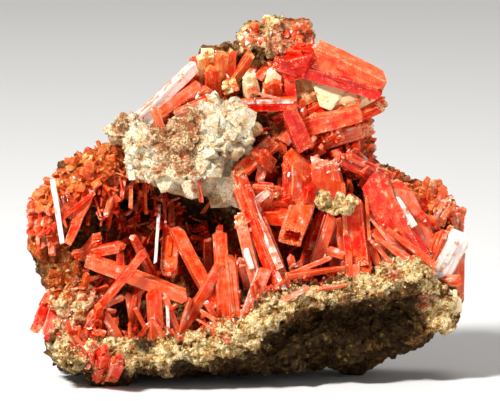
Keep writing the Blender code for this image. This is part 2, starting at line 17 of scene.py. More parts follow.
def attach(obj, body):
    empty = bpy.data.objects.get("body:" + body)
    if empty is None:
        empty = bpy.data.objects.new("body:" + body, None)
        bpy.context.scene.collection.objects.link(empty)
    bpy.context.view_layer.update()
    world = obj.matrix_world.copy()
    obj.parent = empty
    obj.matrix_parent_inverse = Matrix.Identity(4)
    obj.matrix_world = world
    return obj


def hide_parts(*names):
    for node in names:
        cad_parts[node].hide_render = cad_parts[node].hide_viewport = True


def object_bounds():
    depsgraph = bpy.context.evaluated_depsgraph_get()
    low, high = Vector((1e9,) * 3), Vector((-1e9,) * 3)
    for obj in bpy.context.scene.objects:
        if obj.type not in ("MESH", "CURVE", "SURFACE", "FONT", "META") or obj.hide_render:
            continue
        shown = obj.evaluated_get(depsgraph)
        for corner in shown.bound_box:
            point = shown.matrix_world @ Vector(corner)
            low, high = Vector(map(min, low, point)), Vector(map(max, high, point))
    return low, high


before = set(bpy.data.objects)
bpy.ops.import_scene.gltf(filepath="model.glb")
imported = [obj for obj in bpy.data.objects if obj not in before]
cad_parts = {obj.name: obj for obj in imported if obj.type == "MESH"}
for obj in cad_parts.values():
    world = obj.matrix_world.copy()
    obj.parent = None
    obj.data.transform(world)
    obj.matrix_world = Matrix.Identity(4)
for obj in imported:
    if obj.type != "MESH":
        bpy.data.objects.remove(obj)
CAD_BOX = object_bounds()

bl_info = {
    "name": "Crocoite specimen",
    "version": (1, 0, 0),
    "blender": (4, 5, 0),
    "location": "View3D > Sidebar > Specimen",
    "description": "Makes the looks of a crocoite specimen over its CAD frame",
    "category": "Object",
}

MM = 0.001
# The CAD's datum: middle across, depth of the middle, height of the table below the top datum.
MIDDLE_ACROSS = 49.3897
MIDDLE_DEPTH = 2.8607
TABLE_DOWN = 75.5
SEEN_FROM_ABOVE = math.radians(8)
# How far shapes stay inside the CAD's box, in millimetres.
BOX_MARGIN = 0.06
# Where the finely meshed front of the rock meets its coarser back, and how far the two overlap.
ROCK_SEAM = 4.0
SEAM_OVERLAP = 0.6
# Below this height the rock keeps the flat places that it rests on.
RESTING = 0.35
# A slanting direction along which no two elements of a crystal lie level.
SORTING_WAY = Vector((0.3771, 0.5893, 0.7147))
# The crust's relief in layers: how wide the forms of each are, and where its noise is read.
CRUST_LAYERS = {
    "lumps": (5.5, Vector((3.1, 7.7, 1.9))),
    "swell": (3.3, Vector((8.6, 1.2, 4.7))),
    "chips": (1.7, Vector((0, 0, 0))),
    "crumbs": (0.8, Vector((4.4, 0.6, 7.2))),
    "pits": (2.7, Vector((9.3, 2.2, 5.8))),
    "facets": (4.2, Vector((1.7, 6.1, 3.3))),
    "patches": (8, Vector((5.2, 3.4, 9.1))),
}
# How the slant of a chip is drawn from its middle.
TILT_SPREAD = 31.7
TILT_SHIFTS = (Vector((0, 0, 0)), Vector((50, 0, 0)), Vector((100, 0, 0)))
# Faces of the lumps and of the pale pieces, in millimetres.
LUMP_MESH = 0.28
PALE_MESH = 0.3
# Painted shade: how much a face that looks down is darkened, for each kind of crust.
DOWNWARD_SHADE = {"rock": 0.85, "block": 1, "lumps": 0.5, "pale": 0.4}
# Seeds of the random draws. Those of the families lie this far apart, and each crystal adds its row's number.
FAMILY_SEEDS = 1000
POCKET_SEED = 9000
SHARD_SEED = 29
THICKET_SEED = 41
RUBBLE_SEED = 67
DRUSE_SEED = 57
GRAIN_SEED = 83
# Rows with a larger radius than this are a thin scatter over the back and the sides.
BROAD_SCATTER = 20
# Share of the bits and needles that are left out where they would lie on bare crust.
RUBBLE_LEFT_OUT = 0.995
NEEDLES_LEFT_OUT = 0.99
# Widths from which a crystal's faces get a second ledge, its broken end splinters, and laths grow on it.
TWO_LEDGES = 2.4
SPLINTERS = 1.8
BEARS_LATHS = 1.5
# How far a small crystal's root is set into the rock, for the thickets and for the druse.
THICKET_ROOT = 0.8
NEEDLE_ROOT = 0.4
NEEDLE_LENGTH = 4
# The camera looks at the middle of the photograph's frame.
CAMERA_DISTANCE = 1.2
CAMERA_TARGET = Vector((0.00061, 0.00286, 0.03575))
# Each light: its place, its size and the property that holds its power.
LIGHTS = {
    "key_softbox": ((-0.45, -0.55, 0.75), 0.16, "key_light"),
    "fill_softbox": ((0.75, -0.60, 0.30), 0.60, "fill_light"),
    "top_softbox": ((0.05, 0.25, 0.95), 0.50, "top_light"),
}

# Each crystal: its root and tip (across, down, depth), width, thickness, turn about its length, tone and end.
# A tone near 1 gives the glint colour, a painted highlight.
CROWN_PRISMS = {
    # silver_prism's pale tone is a painted highlight along it.
    "silver_prism": ((28.4, 23.8, -3.4), (39.6, 12.8, -4.4), 2.6, 2.2, 25, 0.92, "chisel"),
    "crest_bar_1": ((31.6, 23, -3.4), (40.4, 16.6, -5.2), 2.1, 1.8, 0, 0.56, "chisel"),
    "crest_bar_2": ((33.6, 20.6, 0), (38.8, 14.8, -2.6), 1.8, 1.5, 20, 0.5, "chisel"),
    "crest_bar_3": ((35.4, 23, -5), (42.8, 19.9, -8.4), 1.9, 1.6, 15, 0.6, "broken"),
    "crest_bar_4": ((34.8, 21.6, -2), (42.6, 18, -5.8), 2.3, 1.9, 40, 0.52, "chisel"),
    "block_prism_1": ((33, 27.6, -9), (30.7, 21.4, -8.6), 1.7, 1.5, 10, 0.66, "broken"),
    "great_prism": ((62.7, 10.8, -7.1), (77.4, 17.8, -10), 5, 4.2, 22, 0.56, "face"),
    # A deep red crystal under the great prism: painted shade for the great prism's shaded lower face.
    "ruby_bridge": ((55, 12.4, -5.2), (76.6, 18.9, -9.6), 3, 3, 20, 0.08, "face"),
    "ember_wedge": ((55, 14, -3.4), (64.2, 12.6, -9.6), 4.8, 3.2, 14, 0.16, "face"),
    "ember_upper": ((58, 10.6, -3.6), (63, 10.8, -10), 3.4, 2.8, 32, 0.24, "broken"),
    "ember_lower": ((61, 14.2, -6), (70.8, 17, -9.8), 2.4, 2, 30, 0.1, "face"),
    "upper_lath": ((60.6, 25.6, -4.5), (72.8, 22.5, -9.2), 3.4, 2.8, 10, 0.56, "face"),
    "upper_lath_edge": ((62, 23.6, -6), (71.4, 22.2, -9.6), 1, 1, 20, 0.78, "chisel"),
    "pale_tipped_lath": ((67, 25.2, -2), (77.6, 20.4, -7.8), 2.6, 2.4, 40, 0.4, "broken"),
    "lower_lath": ((65, 28.2, -1), (74.8, 25.5, -6), 3.2, 2.6, 0, 0.55, "broken"),
    "orange_stub": ((62.6, 29.4, 0), (68.6, 26, -7), 2.8, 2.4, 30, 0.52, "broken"),
    "crown_needle_1": ((71.3, 16.8, -6), (71.5, 21.3, -7.6), 0.9, 0.8, 30, 0.6, "chisel"),
    "crown_needle_2": ((73.3, 17.2, -6.6), (73.8, 20.5, -8.2), 0.8, 0.8, 0, 0.6, "chisel"),
    "pocket_bar_1": ((58.6, 24.2, -1), (64.9, 20.6, -5.4), 1.8, 1.6, 20, 0.3, "chisel"),
    "pocket_bar_2": ((60.4, 25.2, -1.5), (65, 22.5, -6.4), 1.6, 1.4, 45, 0.34, "chisel"),
    "pink_top_bar": ((48.4, 21.3, -3), (59.8, 21.2, -10.2), 2.1, 2, 8, 0.26, "face"),
    "pink_bar_rim": ((48.2, 20.3, -3.4), (59.2, 20.2, -10.4), 1, 1.6, 10, 0.72, "chisel"),
    "upper_strut": ((60.8, 29.4, -5.5), (56.9, 20.8, -10), 3.6, 2.8, 12, 0.26, "face"),
    "red_upright": ((58, 22, -4.5), (57.8, 12.4, -4.6), 2.5, 2, 8, 0.24, "face"),
    "pale_blade": ((49.2, 18.2, -5.5), (56, 20, -10), 0.5, 0.5, 0, 0.8, "chisel"),
    "block_streak": ((39.4, 33.8, -13.2), (40.4, 40.6, -11.6), 1, 0.8, 0, 0.34, "chisel"),
    "salmon_face": ((55, 21.4, -1), (54.2, 15.6, -6.4), 4, 3, 5, 0.48, "face"),
    "shaded_bar_1": ((56.2, 9.8, -1.5), (51.3, 16.4, -5), 1.9, 1.7, 20, 0.5, "chisel"),
    "shaded_bar_2": ((53.6, 10.4, -0.5), (49.2, 15.6, -4.4), 1.5, 1.4, 0, 0.62, "chisel"),
}

CENTRE_PRISMS = {
    "left_block": ((59.4, 42.4, -5), (59.6, 29.4, -8.8), 5.4, 4.4, 28, 0.58, "face"),
    "left_block_side": ((57.4, 41, -6), (57.6, 31.6, -9.6), 2.2, 2, 10, 0.36, "broken"),
    "right_block": ((66.2, 39.4, -6.4), (64.4, 30.2, -9.4), 6, 4.6, -8, 0.54, "face"),
    "red_facet": ((60.4, 43.6, -5), (62.2, 36.4, -11.4), 3.4, 2.6, 40, 0.2, "taper"),
    "throat_prism": ((54.4, 35.4, 1), (51.6, 30.2, -10.4), 3, 2.6, 20, 0.38, "broken"),
    "pink_tablet": ((53, 31.6, -4.6), (51.7, 36.6, -8.6), 2, 1.3, 0, 0.74, "chisel"),
    "glinting_cluster": ((48.8, 37.6, -6), (56, 38.4, -11.2), 2.6, 2.2, 30, 0.48, "broken"),
    "glinting_cluster_2": ((52.4, 41.4, -6), (54.6, 37.4, -11.2), 2.2, 1.8, 12, 0.68, "broken"),
    "glinting_cluster_3": ((54, 41, -6), (58.6, 39.6, -10.8), 2.8, 2.2, 34, 0.34, "broken"),
    "shadow_prism": ((53, 38.6, -4), (61, 42.4, -7.5), 3.4, 3, 15, 0.24, "chisel"),
    "broken_block": ((60.4, 41, -6.5), (58.1, 47.6, -14.4), 5.2, 4.6, 6, 0.52, "hollow"),
    "block_stalk": ((59.4, 56.2, -10), (57.8, 50.4, -11.4), 1.6, 1.5, 0, 0.5, "chisel"),
    "central_spear": ((56.4, 59, -13), (47.4, 34.4, -9.2), 2.5, 2.6, 38, 0.44, "chisel"),
    "spear_glint": ((56, 53.6, -13.2), (50.4, 40.8, -10.6), 1.5, 1.3, 8, 0.92, "chisel"),
    "spear_back": ((57.6, 58.6, -12), (51.6, 42.2, -9.2), 2.2, 2, 20, 0.34, "chisel"),
    "spear_head": ((50.6, 42.6, -8.4), (46.8, 35, -10.2), 3.8, 2.8, 10, 0.6, "broken"),
    "branch_upper": ((54.6, 28.6, -5), (46.6, 35.8, -10.4), 3, 2.6, 20, 0.42, "broken"),
    "branch_knob": ((53.8, 33, -5), (51.2, 30.2, -11.4), 3, 2.6, 34, 0.5, "broken"),
    "branch_glint": ((50.6, 40.6, -8), (53.6, 38.4, -12), 1.5, 1.2, 10, 0.98, "broken"),
    "branch_facet": ((52.6, 43, -6), (57.8, 43.4, -10), 3.2, 2.6, 20, 0.3, "face"),
    "speckled_slab": ((52.6, 62, -11), (47.6, 42, -10.6), 2.6, 2.2, 0, 0.66, "broken"),
    "slab_glint": ((50.3, 53.6, -12.3), (49, 49.4, -12), 1.2, 0.8, 10, 0.95, "broken"),
    "foot_glint": ((56.8, 57.8, -15), (55, 54, -14.4), 1, 0.8, 10, 0.9, "chisel"),
    "broken_stub": ((49.6, 57, -6), (48.4, 51.4, -12.6), 2, 1.9, 0, 0.62, "broken"),
    "rim_lath": ((48.6, 65.4, -13.8), (53.2, 53.2, -13.4), 2.9, 2, 8, 0.7, "chisel"),
    "ember_prism": ((60.4, 56.4, -5), (65.6, 41.4, -3), 3.4, 2.8, 12, 0.36, "chisel"),
    "low_fan_1": ((57.8, 54.8, -13.4), (66.4, 51.2, -12.4), 0.9, 0.8, 0, 0.72, "chisel"),
    "low_fan_2": ((57, 55.2, -14.2), (69.4, 53.3, -12.6), 1.4, 1.2, 20, 0.6, "taper"),
    "salmon_bar": ((62.2, 49, -6), (69.8, 51.4, -10.8), 1.5, 1.3, 15, 0.72, "chisel"),
    "slot_needle_1": ((66.3, 56.6, -6), (66.4, 45.4, -5.4), 1.3, 1.1, 20, 0.55, "chisel"),
    "slot_needle_2": ((67.6, 56.4, -5), (67.4, 44.4, -4.8), 1, 0.9, 0, 0.62, "chisel"),
    "ruby_prism": ((71.6, 53, -10.4), (70, 37.4, -8.6), 4.8, 3.8, -14, 0.26, "face"),
    "ruby_foot": ((71.7, 57.6, -10.6), (71.3, 48.8, -10.8), 5.2, 4.3, -10, 0.5, "broken"),
    "ruby_rim": ((68.9, 47, -11.4), (68.4, 36.4, -9.6), 0.9, 1.2, 0, 0.7, "broken"),
    "ruby_edge": ((73.7, 48, -11.2), (73, 38.4, -9.4), 0.7, 0.9, 0, 0.76, "chisel"),
    "shaded_slat_1": ((63, 52.6, -8), (66.4, 42.6, -7.6), 2.4, 1.8, 8, 0.56, "chisel"),
    "shaded_slat_2": ((68.6, 52.8, -8.4), (67.4, 43.4, -7), 1.2, 1.1, 20, 0.62, "chisel"),
    "rim_sliver_1": ((55.8, 60.2, -17.6), (61.8, 57.1, -19), 1, 0.9, 0, 0.66, "chisel"),
    "rim_sliver_2": ((63.4, 57.8, -16.6), (69.6, 56.6, -18), 1, 0.8, 30, 0.6, "taper"),
}

RIGHT_PRISMS = {
    "fan_prism_1": ((83, 53.4, -7), (73.6, 34, -8.8), 6, 4, -10, 0.4, "face"),
    "fan_prism_2": ((86.4, 52, -6.2), (78.2, 35.4, -7.2), 4.4, 3, 25, 0.5, "face"),
    "fan_plate": ((86.8, 44.4, 0), (77.4, 36.6, -5), 4.4, 2.4, 8, 0.48, "face"),
    "low_fan_prism": ((86.4, 52.8, -6.8), (72.8, 45.2, -9.8), 4.6, 3, 20, 0.48, "taper"),
    "shoulder_prism": ((78.4, 36.6, -1.5), (66.8, 31, -7.6), 3.6, 3.2, 15, 0.4, "broken"),
    "pale_edge_blade": ((75.2, 34.6, 0), (68.8, 29.4, -4.6), 2, 1.6, 40, 0.62, "broken"),
    "fan_needle_1": ((76.2, 55.4, -9.6), (72.8, 45.2, -8.6), 1.6, 1.4, 10, 0.6, "chisel"),
    "fan_needle_2": ((78.2, 54.8, -9), (74.6, 46, -9), 1.3, 1.1, 30, 0.62, "chisel"),
    "hollow_prism": ((87, 49, -2), (83.4, 42, -7.6), 4.6, 3, 14, 0.64, "broken"),
    "flank_upright": ((85.4, 44.6, 0), (86.5, 35.8, -3), 2.1, 1.8, 12, 0.6, "broken"),
    "flank_stub": ((88, 46, 0), (90.4, 39.4, -3.6), 2.4, 2, 0, 0.58, "broken"),
    "flank_plate": ((90.4, 48.4, -1.5), (91.4, 41.4, -4.2), 3, 1.8, 20, 0.66, "broken"),
    "flank_blade": ((86.8, 45, -1.5), (88.8, 36.8, -3.6), 2.6, 1.4, 8, 0.56, "taper"),
    "flank_pale": ((87.6, 44.8, -4), (88.6, 40.6, -6), 2.4, 1.8, 12, 0.84, "broken"),
    "flank_low": ((87.4, 50.4, -5), (90.2, 45, -6.4), 2.4, 1.7, 12, 0.6, "broken"),
    # white_edge_prism's white is a painted highlight.
    "white_edge_prism": ((87.4, 55, -5.8), (92.4, 46, -8.8), 4.4, 3.2, 8, 1.2, "chisel"),
    "edge_post": ((91.2, 60, -2.5), (91.7, 49.6, -3.6), 2.5, 2.2, 20, 0.42, "chisel"),
    "edge_bar": ((85.6, 55.8, -5), (92.2, 56, -9.2), 1.8, 1.8, 30, 0.62, "face"),
    "fan_glint": ((82.6, 45.2, -10), (79, 39, -9.8), 1.3, 1, 20, 0.94, "taper"),
    "fan_middle": ((83, 54, -6.4), (74.2, 40.6, -8), 4.6, 3, 0, 0.42, "face"),
    "fan_edge": ((85.4, 51.6, -8.6), (80.4, 41.6, -8.4), 1.6, 1.4, 0, 0.24, "chisel"),
    "fan_blade_5": ((86.6, 54.4, -10), (76.4, 48.2, -11.8), 1.2, 0.8, 0, 0.66, "taper"),
    "fan_blade_6": ((80.6, 55.4, -10.8), (73.8, 47.8, -11.6), 1.2, 0.9, 0, 0.5, "taper"),
    "fan_blade_1": ((84.6, 52.8, -9.4), (76.2, 40.4, -10.2), 1.8, 1.2, 30, 0.24, "taper"),
    "fan_blade_2": ((82.6, 54, -10.8), (73.6, 43.4, -10.8), 1.1, 0.9, 0, 0.62, "taper"),
    "fan_blade_3": ((86.8, 53.2, -10.2), (77, 45.6, -11.6), 1.6, 1.1, 20, 0.42, "taper"),
    "fan_blade_4": ((84.2, 54.8, -11), (74, 46.6, -11.8), 1.3, 0.9, 20, 0.56, "taper"),
    "right_lance": ((84.8, 55.4, -7.6), (88.8, 45.6, -6.8), 2.5, 2.2, 25, 0.52, "chisel"),
    "flank_red": ((86, 45.4, -5.4), (83.6, 42.4, -9.4), 1.7, 1.4, 10, 0.16, "face"),
}

HOLLOW_COLUMNS = {
    "column_left": ((45.2, 69, -11.6), (44, 44.6, -7.6), 2.6, 2.2, 12, 0.54, "broken"),
    "column_right": ((47.8, 68.4, -11), (46, 50.2, -9), 2.1, 1.8, -10, 0.54, "chisel"),
    "foot_lath": ((46, 68, -12.6), (41, 59.8, -14), 1.2, 1.1, 0, 0.48, "chisel"),
    "rising_lath": ((34.8, 68.4, -11), (44.4, 52.2, -9.8), 1.9, 1.6, 20, 0.58, "chisel"),
    "leaning_prism": ((43.4, 61.4, -9.2), (34.6, 44.8, -5.4), 2.8, 2.2, 20, 0.46, "face"),
    "back_stub": ((41.7, 60.6, 8), (41.4, 47.4, -3.4), 1.8, 1.6, 10, 0.48, "chisel"),
    "broad_prism": ((34.8, 41.6, 10), (33.7, 56.2, -10.6), 3.8, 2.6, 10, 0.5, "broken"),
    # white_needle's white is a painted highlight.
    "white_needle": ((31.9, 39, 8), (31.2, 52.6, -11.6), 0.7, 0.6, 0, 1, "chisel"),
    "standing_prism": ((31.5, 69.4, -11.4), (30.8, 57, -12.8), 2.9, 2.4, 14, 0.52, "face"),
    "small_spear": ((36.4, 68.4, -12), (33.1, 59, -13.2), 1.2, 1, 20, 0.6, "chisel"),
    "glint_sliver": ((33.9, 68, -14), (33.6, 60.8, -14.2), 0.7, 0.6, 0, 0.95, "chisel"),
    "leaning_needle": ((36, 67, -12.4), (38.2, 59.2, -13.6), 0.9, 0.8, 30, 0.55, "chisel"),
}

HOLLOW_BARS = {
    "cross_bar": ((17.6, 51.8, -8), (38.4, 59.6, -13.4), 2.9, 2.2, 16, 0.54, "face"),
    "crossing_lath": ((19.2, 62.4, -11.4), (29.4, 50, -15.6), 1.6, 1.3, 10, 0.48, "chisel"),
    "orange_stalk": ((31.8, 58, -3), (26.7, 47, -11.6), 1.6, 1.4, 30, 0.5, "chisel"),
    "end_face_bar": ((14.6, 51.2, -4), (25.5, 49.1, -12.2), 2, 1.9, 8, 0.48, "broken"),
    "red_chunk": ((16.6, 51.6, -5), (20.6, 46.4, -9.6), 2.2, 1.8, 30, 0.42, "broken"),
    "short_post": ((24.2, 56.8, -9), (24.2, 50, -9.6), 1.7, 1.5, 10, 0.52, "chisel"),
    "shaded_post": ((25.6, 70, -6), (27.9, 57.2, -8), 1.9, 1.6, 0, 0.44, "chisel"),
    "thin_leaner": ((31.4, 69.6, -9.6), (27, 61.2, -12.4), 0.9, 0.8, 20, 0.5, "chisel"),
    "end_on_prism": ((21.2, 42, 9), (20.6, 42.8, -8), 2.2, 2.1, 22, 0.42, "hollow"),
    "salmon_leaner": ((25, 69.6, -11), (20.8, 62.2, -12), 2, 1.6, 10, 0.6, "chisel"),
    "low_needle": ((22, 69, -9), (20, 63.4, -11.6), 1.1, 1, 0, 0.6, "chisel"),
    "red_wedge": ((15.8, 67.6, -8), (19.7, 62, -12.4), 1.9, 1.6, 30, 0.55, "chisel"),
    "pale_lath": ((19.6, 61.6, -9), (25.2, 59, -12.6), 1.3, 1, 0, 0.6, "chisel"),
}

WALL_PRISMS = {
    "left_lance": ((20.4, 32.6, -3), (13.7, 49.2, -13), 2.9, 1.9, 10, 0.5, "taper"),
    "glint_blade": ((10.9, 35.8, -11.2), (12.9, 48.8, -13), 1.1, 0.9, 0, 1, "chisel"),
    "crossing_blade": ((19, 38.6, -8), (8, 47.6, -14.4), 0.9, 0.8, 10, 0.48, "taper"),
    "left_slat": ((10.2, 36.4, -3), (11.1, 42.6, -9.4), 1, 0.8, 20, 0.6, "chisel"),
    "wall_block": ((13.4, 37.6, -2), (15.4, 42.4, -8.4), 2.2, 2, 20, 0.52, "broken"),
    "roof_needle_1": ((21.6, 33, -1), (20.9, 39.2, -8), 0.9, 0.8, 0, 0.55, "chisel"),
    "roof_needle_2": ((24.2, 33.6, -1), (21.4, 43.2, -9.6), 1.1, 0.9, 30, 0.6, "chisel"),
    "roof_needle_3": ((26.4, 34, 0), (26.2, 41.8, -6.6), 0.8, 0.7, 0, 0.56, "chisel"),
    "foot_prism": ((12, 56.8, -4.4), (7.2, 66.8, -8.4), 3.6, 2.6, 2, 0.34, "broken"),
    "foot_blade": ((12, 58.6, -6.4), (9.2, 68.4, -10), 2.1, 1.8, 12, 0.44, "broken"),
}

FRONT_PRISMS = {
    "front_prism_1": ((20.2, 74.2, -12), (18.5, 68, -22.4), 2.6, 2.2, 20, 0.32, "broken"),
    "front_prism_2": ((20, 75, -12), (21.4, 69.2, -23), 2.9, 2.6, 35, 0.28, "broken"),
    "front_prism_3": ((22.4, 75.2, -12.6), (24.2, 71, -23.2), 2.6, 2.2, 10, 0.4, "broken"),
}

CREST_PRISMS = {
    "amber_crest": ((41.6, 17.6, 1), (41.2, 8.8, -5.4), 3.8, 2.8, 10, 0.95, "broken"),
    "amber_side": ((44, 18.4, 0), (44.2, 10.4, -5.6), 2.6, 2.2, 26, 0.66, "chisel"),
    "crest_blade_1": ((44.6, 18.6, 0), (46.8, 9.6, -4.6), 3, 1.8, 20, 0.5, "taper"),
    "crest_blade_2": ((45.8, 17.4, 1), (50.4, 10.6, -5.4), 2.2, 1.6, 0, 0.42, "chisel"),
    "crest_blade_3": ((44.8, 18.6, -1), (50.6, 11, -5), 1.7, 1.4, 30, 0.58, "chisel"),
    "crest_face": ((42.6, 19, -1), (42.4, 12.8, -4.8), 3.2, 2.4, 8, 0.44, "face"),
    "crest_knuckle": ((46.6, 16.4, 0), (45.9, 17.9, -7.4), 2.9, 2.6, 20, 0.72, "broken"),
    "crown_tooth_1": ((53.4, 6, -1), (53.2, 3.2, -2.6), 1.5, 1.3, 30, 0.7, "broken"),
    "crown_tooth_3": ((50, 8.6, -2), (48.7, 5.6, -4.4), 1.4, 1.3, 10, 0.66, "broken"),
    "crown_tooth_4": ((49.6, 10, -3), (48, 7.6, -6), 1.3, 1.2, 20, 0.7, "broken"),
    "crown_tooth_5": ((51.4, 6.8, -3), (50.6, 5, -6.4), 1.3, 1.2, 40, 0.3, "broken"),
    "crest_wall": ((44.6, 19.4, 0), (44.8, 11.4, -4), 5.4, 2.2, 6, 0.54, "face"),
}

# Each family of crystals: its finish, its crystals, and the CAD nodes that it stands for.
FAMILIES = {
    "crown_crystals": ("crocoite", CROWN_PRISMS, ("great_prism_group", "pale_blade")),
    "centre_crystals": (
        "crocoite",
        CENTRE_PRISMS,
        (
            "upper_lath_group",
            "throat_prism_group",
            "glinting_cluster",
            "slot_needle_1_group",
            "rim_sliver_1",
            "rim_sliver_2",
        ),
    ),
    "right_crystals": (
        "crocoite",
        RIGHT_PRISMS,
        ("upper_lath_group", "flank_upright_group", "flank_stub", "white_edge_prism_group"),
    ),
    "hollow_columns": (
        "crocoite",
        HOLLOW_COLUMNS,
        ("column_left_group", "foot_lath_group", "back_stub", "broad_prism", "white_needle", "glint_sliver"),
    ),
    "hollow_bars": (
        "crocoite",
        HOLLOW_BARS,
        (
            "standing_prism_group",
            "crossing_lath_group",
            "orange_stalk",
            "shaded_post",
            "end_on_prism_group",
            "pale_lath",
        ),
    ),
    "wall_crystals": (
        "crocoite",
        WALL_PRISMS,
        ("left_lance_group", "left_slat_group", "roof_needle_1_group", "roof_needle_3", "foot_prism_group"),
    ),
    "front_crystals": ("crocoite", FRONT_PRISMS, ("front_prism_1_group", "front_prism_3_group")),
    "crest_crystals": (
        "amber_crocoite",
        CREST_PRISMS,
        ("silver_prism_group", "shaded_bar_2_group", "block_prism_1", "crown_tooth_1", "crown_tooth_3"),
    ),
}

# Pale crystals in the pocket under the great prism and beside it, as the rows above.
POCKET_PRISMS = {
    "cleavage_face": ((90, 61.8, -6.2), (89.8, 56.3, -7.8), 4.3, 3.4, 4, 0.86, "chisel"),
    "amber_back": ((60, 14.6, -1.6), (62.4, 21.6, -3.6), 5, 2.6, 6, 0.1, "face"),
    "cream_wedge": ((68.6, 15.6, -3), (63, 21.2, -7.4), 5.6, 2.8, 16, 0.78, "face"),
    "tan_round": ((65.6, 21.4, -3), (72.4, 19.2, -7), 4, 3, 20, 0.74, "face"),
    "sand_bar": ((69, 22.6, -3.4), (75.6, 18.9, -6.8), 2.4, 2, 14, 0.86, "face"),
    "tan_wedge": ((50.2, 25.6, -5), (53.4, 25.6, -7.6), 3.6, 2.4, 30, 0.4, "broken"),
    "cream_wedge_2": ((53.4, 20.4, -2.8), (55.2, 13.6, -6), 3.2, 2, 12, 0.88, "face"),
    "cream_wedge_3": ((50.4, 19, -3), (49.8, 14.8, -7), 3, 2.2, 30, 0.78, "broken"),
}

# Lumps of crust, joined and roughened: slot (not used: every lump takes the gossan crust), relief, CAD nodes,
# then the place and radius of each.
LUMPS = {
    "knob_crust": (
        "gossan",
        0.75,
        ("crown_tooth_2",),
        (
            (50, 8.8, -3.6, 2.2), (51.8, 6.2, -2.6, 1.9), (54.6, 5.8, -3.6, 2.3), (53.4, 9.2, -5, 2.6),
            (56.4, 8.6, -4.6, 2.4), (57.6, 5.6, -3.2, 2), (59.6, 6, -4.2, 2), (61.2, 8, -3.8, 1.8),
            (59.4, 9.4, -5, 2.2), (51.2, 11.6, -3.6, 1.8), (56, 5, -2.4, 1.4),
        ),
    ),
    "ledge_crust": (
        "pale_crystal",
        0.6,
        ("cream_ledge",),
        (
            (64.4, 39.8, -13.6, 1.7), (64.8, 41.6, -13.6, 1.4), (66.8, 41.6, -13.8, 1.5),
            (68.8, 41.6, -13.8, 1.5), (70.2, 40.2, -13.2, 1.3), (67.6, 39.4, -13.2, 1.1),
            (70, 42.4, -12.8, 1), (66, 40.6, -13.4, 1.3), (68.4, 41, -13.4, 1.3),
        ),
    ),
    "foot_crust": (
        "gossan",
        0.8,
        (),
        (
            (67.4, 71.8, 1, 2.2), (65, 71.6, 0.6, 2.2), (61.6, 71.4, 1, 2), (76, 71, 0.6, 2.4),
            (78.8, 69.4, 1.6, 2.2), (64.8, 70.6, 1.6, 1.9), (74, 71.6, 1, 2), (76.6, 70, 1.6, 1.9),
            (70.6, 72.6, -0.4, 2), (72.6, 73.2, 0.2, 1.5), (69, 73.4, 0.2, 1.4),
        ),
    ),
    "rim_crust": (
        "gossan",
        0.8,
        (),
        (
            (74.8, 56, -13.4, 1.5), (77, 54.4, -13, 1.8), (79.6, 53.4, -12.4, 2), (82.2, 53.6, -11.8, 1.9),
            (84.4, 55.4, -11, 1.6), (60, 58.6, -16, 1.3), (64.6, 57.8, -16, 1.2), (69, 57.2, -15.6, 1.4),
            (56.6, 61, -16.6, 1.4), (53.4, 63.6, -17, 1.5),
        ),
    ),
}

# Angular pieces of the cream block: middle on it, radius, how many, lengths and widths.
SHARDS = [
    ((45, 20, -10), 3.6, 10, (1.4, 3.2), (1.6, 3.2)),
    ((47.6, 25, -11), 3.2, 11, (2.2, 4.2), (2.4, 4.6)),
    ((42.6, 26.6, -12), 3.4, 9, (2, 4), (2.2, 4.2)),
    ((42, 31, -12), 3.4, 9, (2.2, 4.4), (2.4, 4.8)),
    ((44, 37, -9), 3.6, 10, (2.2, 4.4), (2.6, 5)),
    ((36, 38, -9), 4, 10, (2, 4), (2.6, 5)),
    ((27, 29, -11), 3.4, 7, (1.2, 2.6), (1.4, 2.8)),
    ((29, 34, -11), 3.6, 8, (1.2, 2.8), (1.4, 2.8)),
    ((37, 35, -12), 3.2, 6, (1.2, 2.8), (1.4, 2.8)),
    ((24.6, 25.6, -9), 2.6, 5, (1.2, 2.4), (1.2, 2.4)),
]

# Pale nodes that are remeshed and roughened, and how rough they are.
PALE_NODES = ("pale_wedge_group", "tan_tablet_group", "pale_tooth")
PALE_RELIEF = 0.4

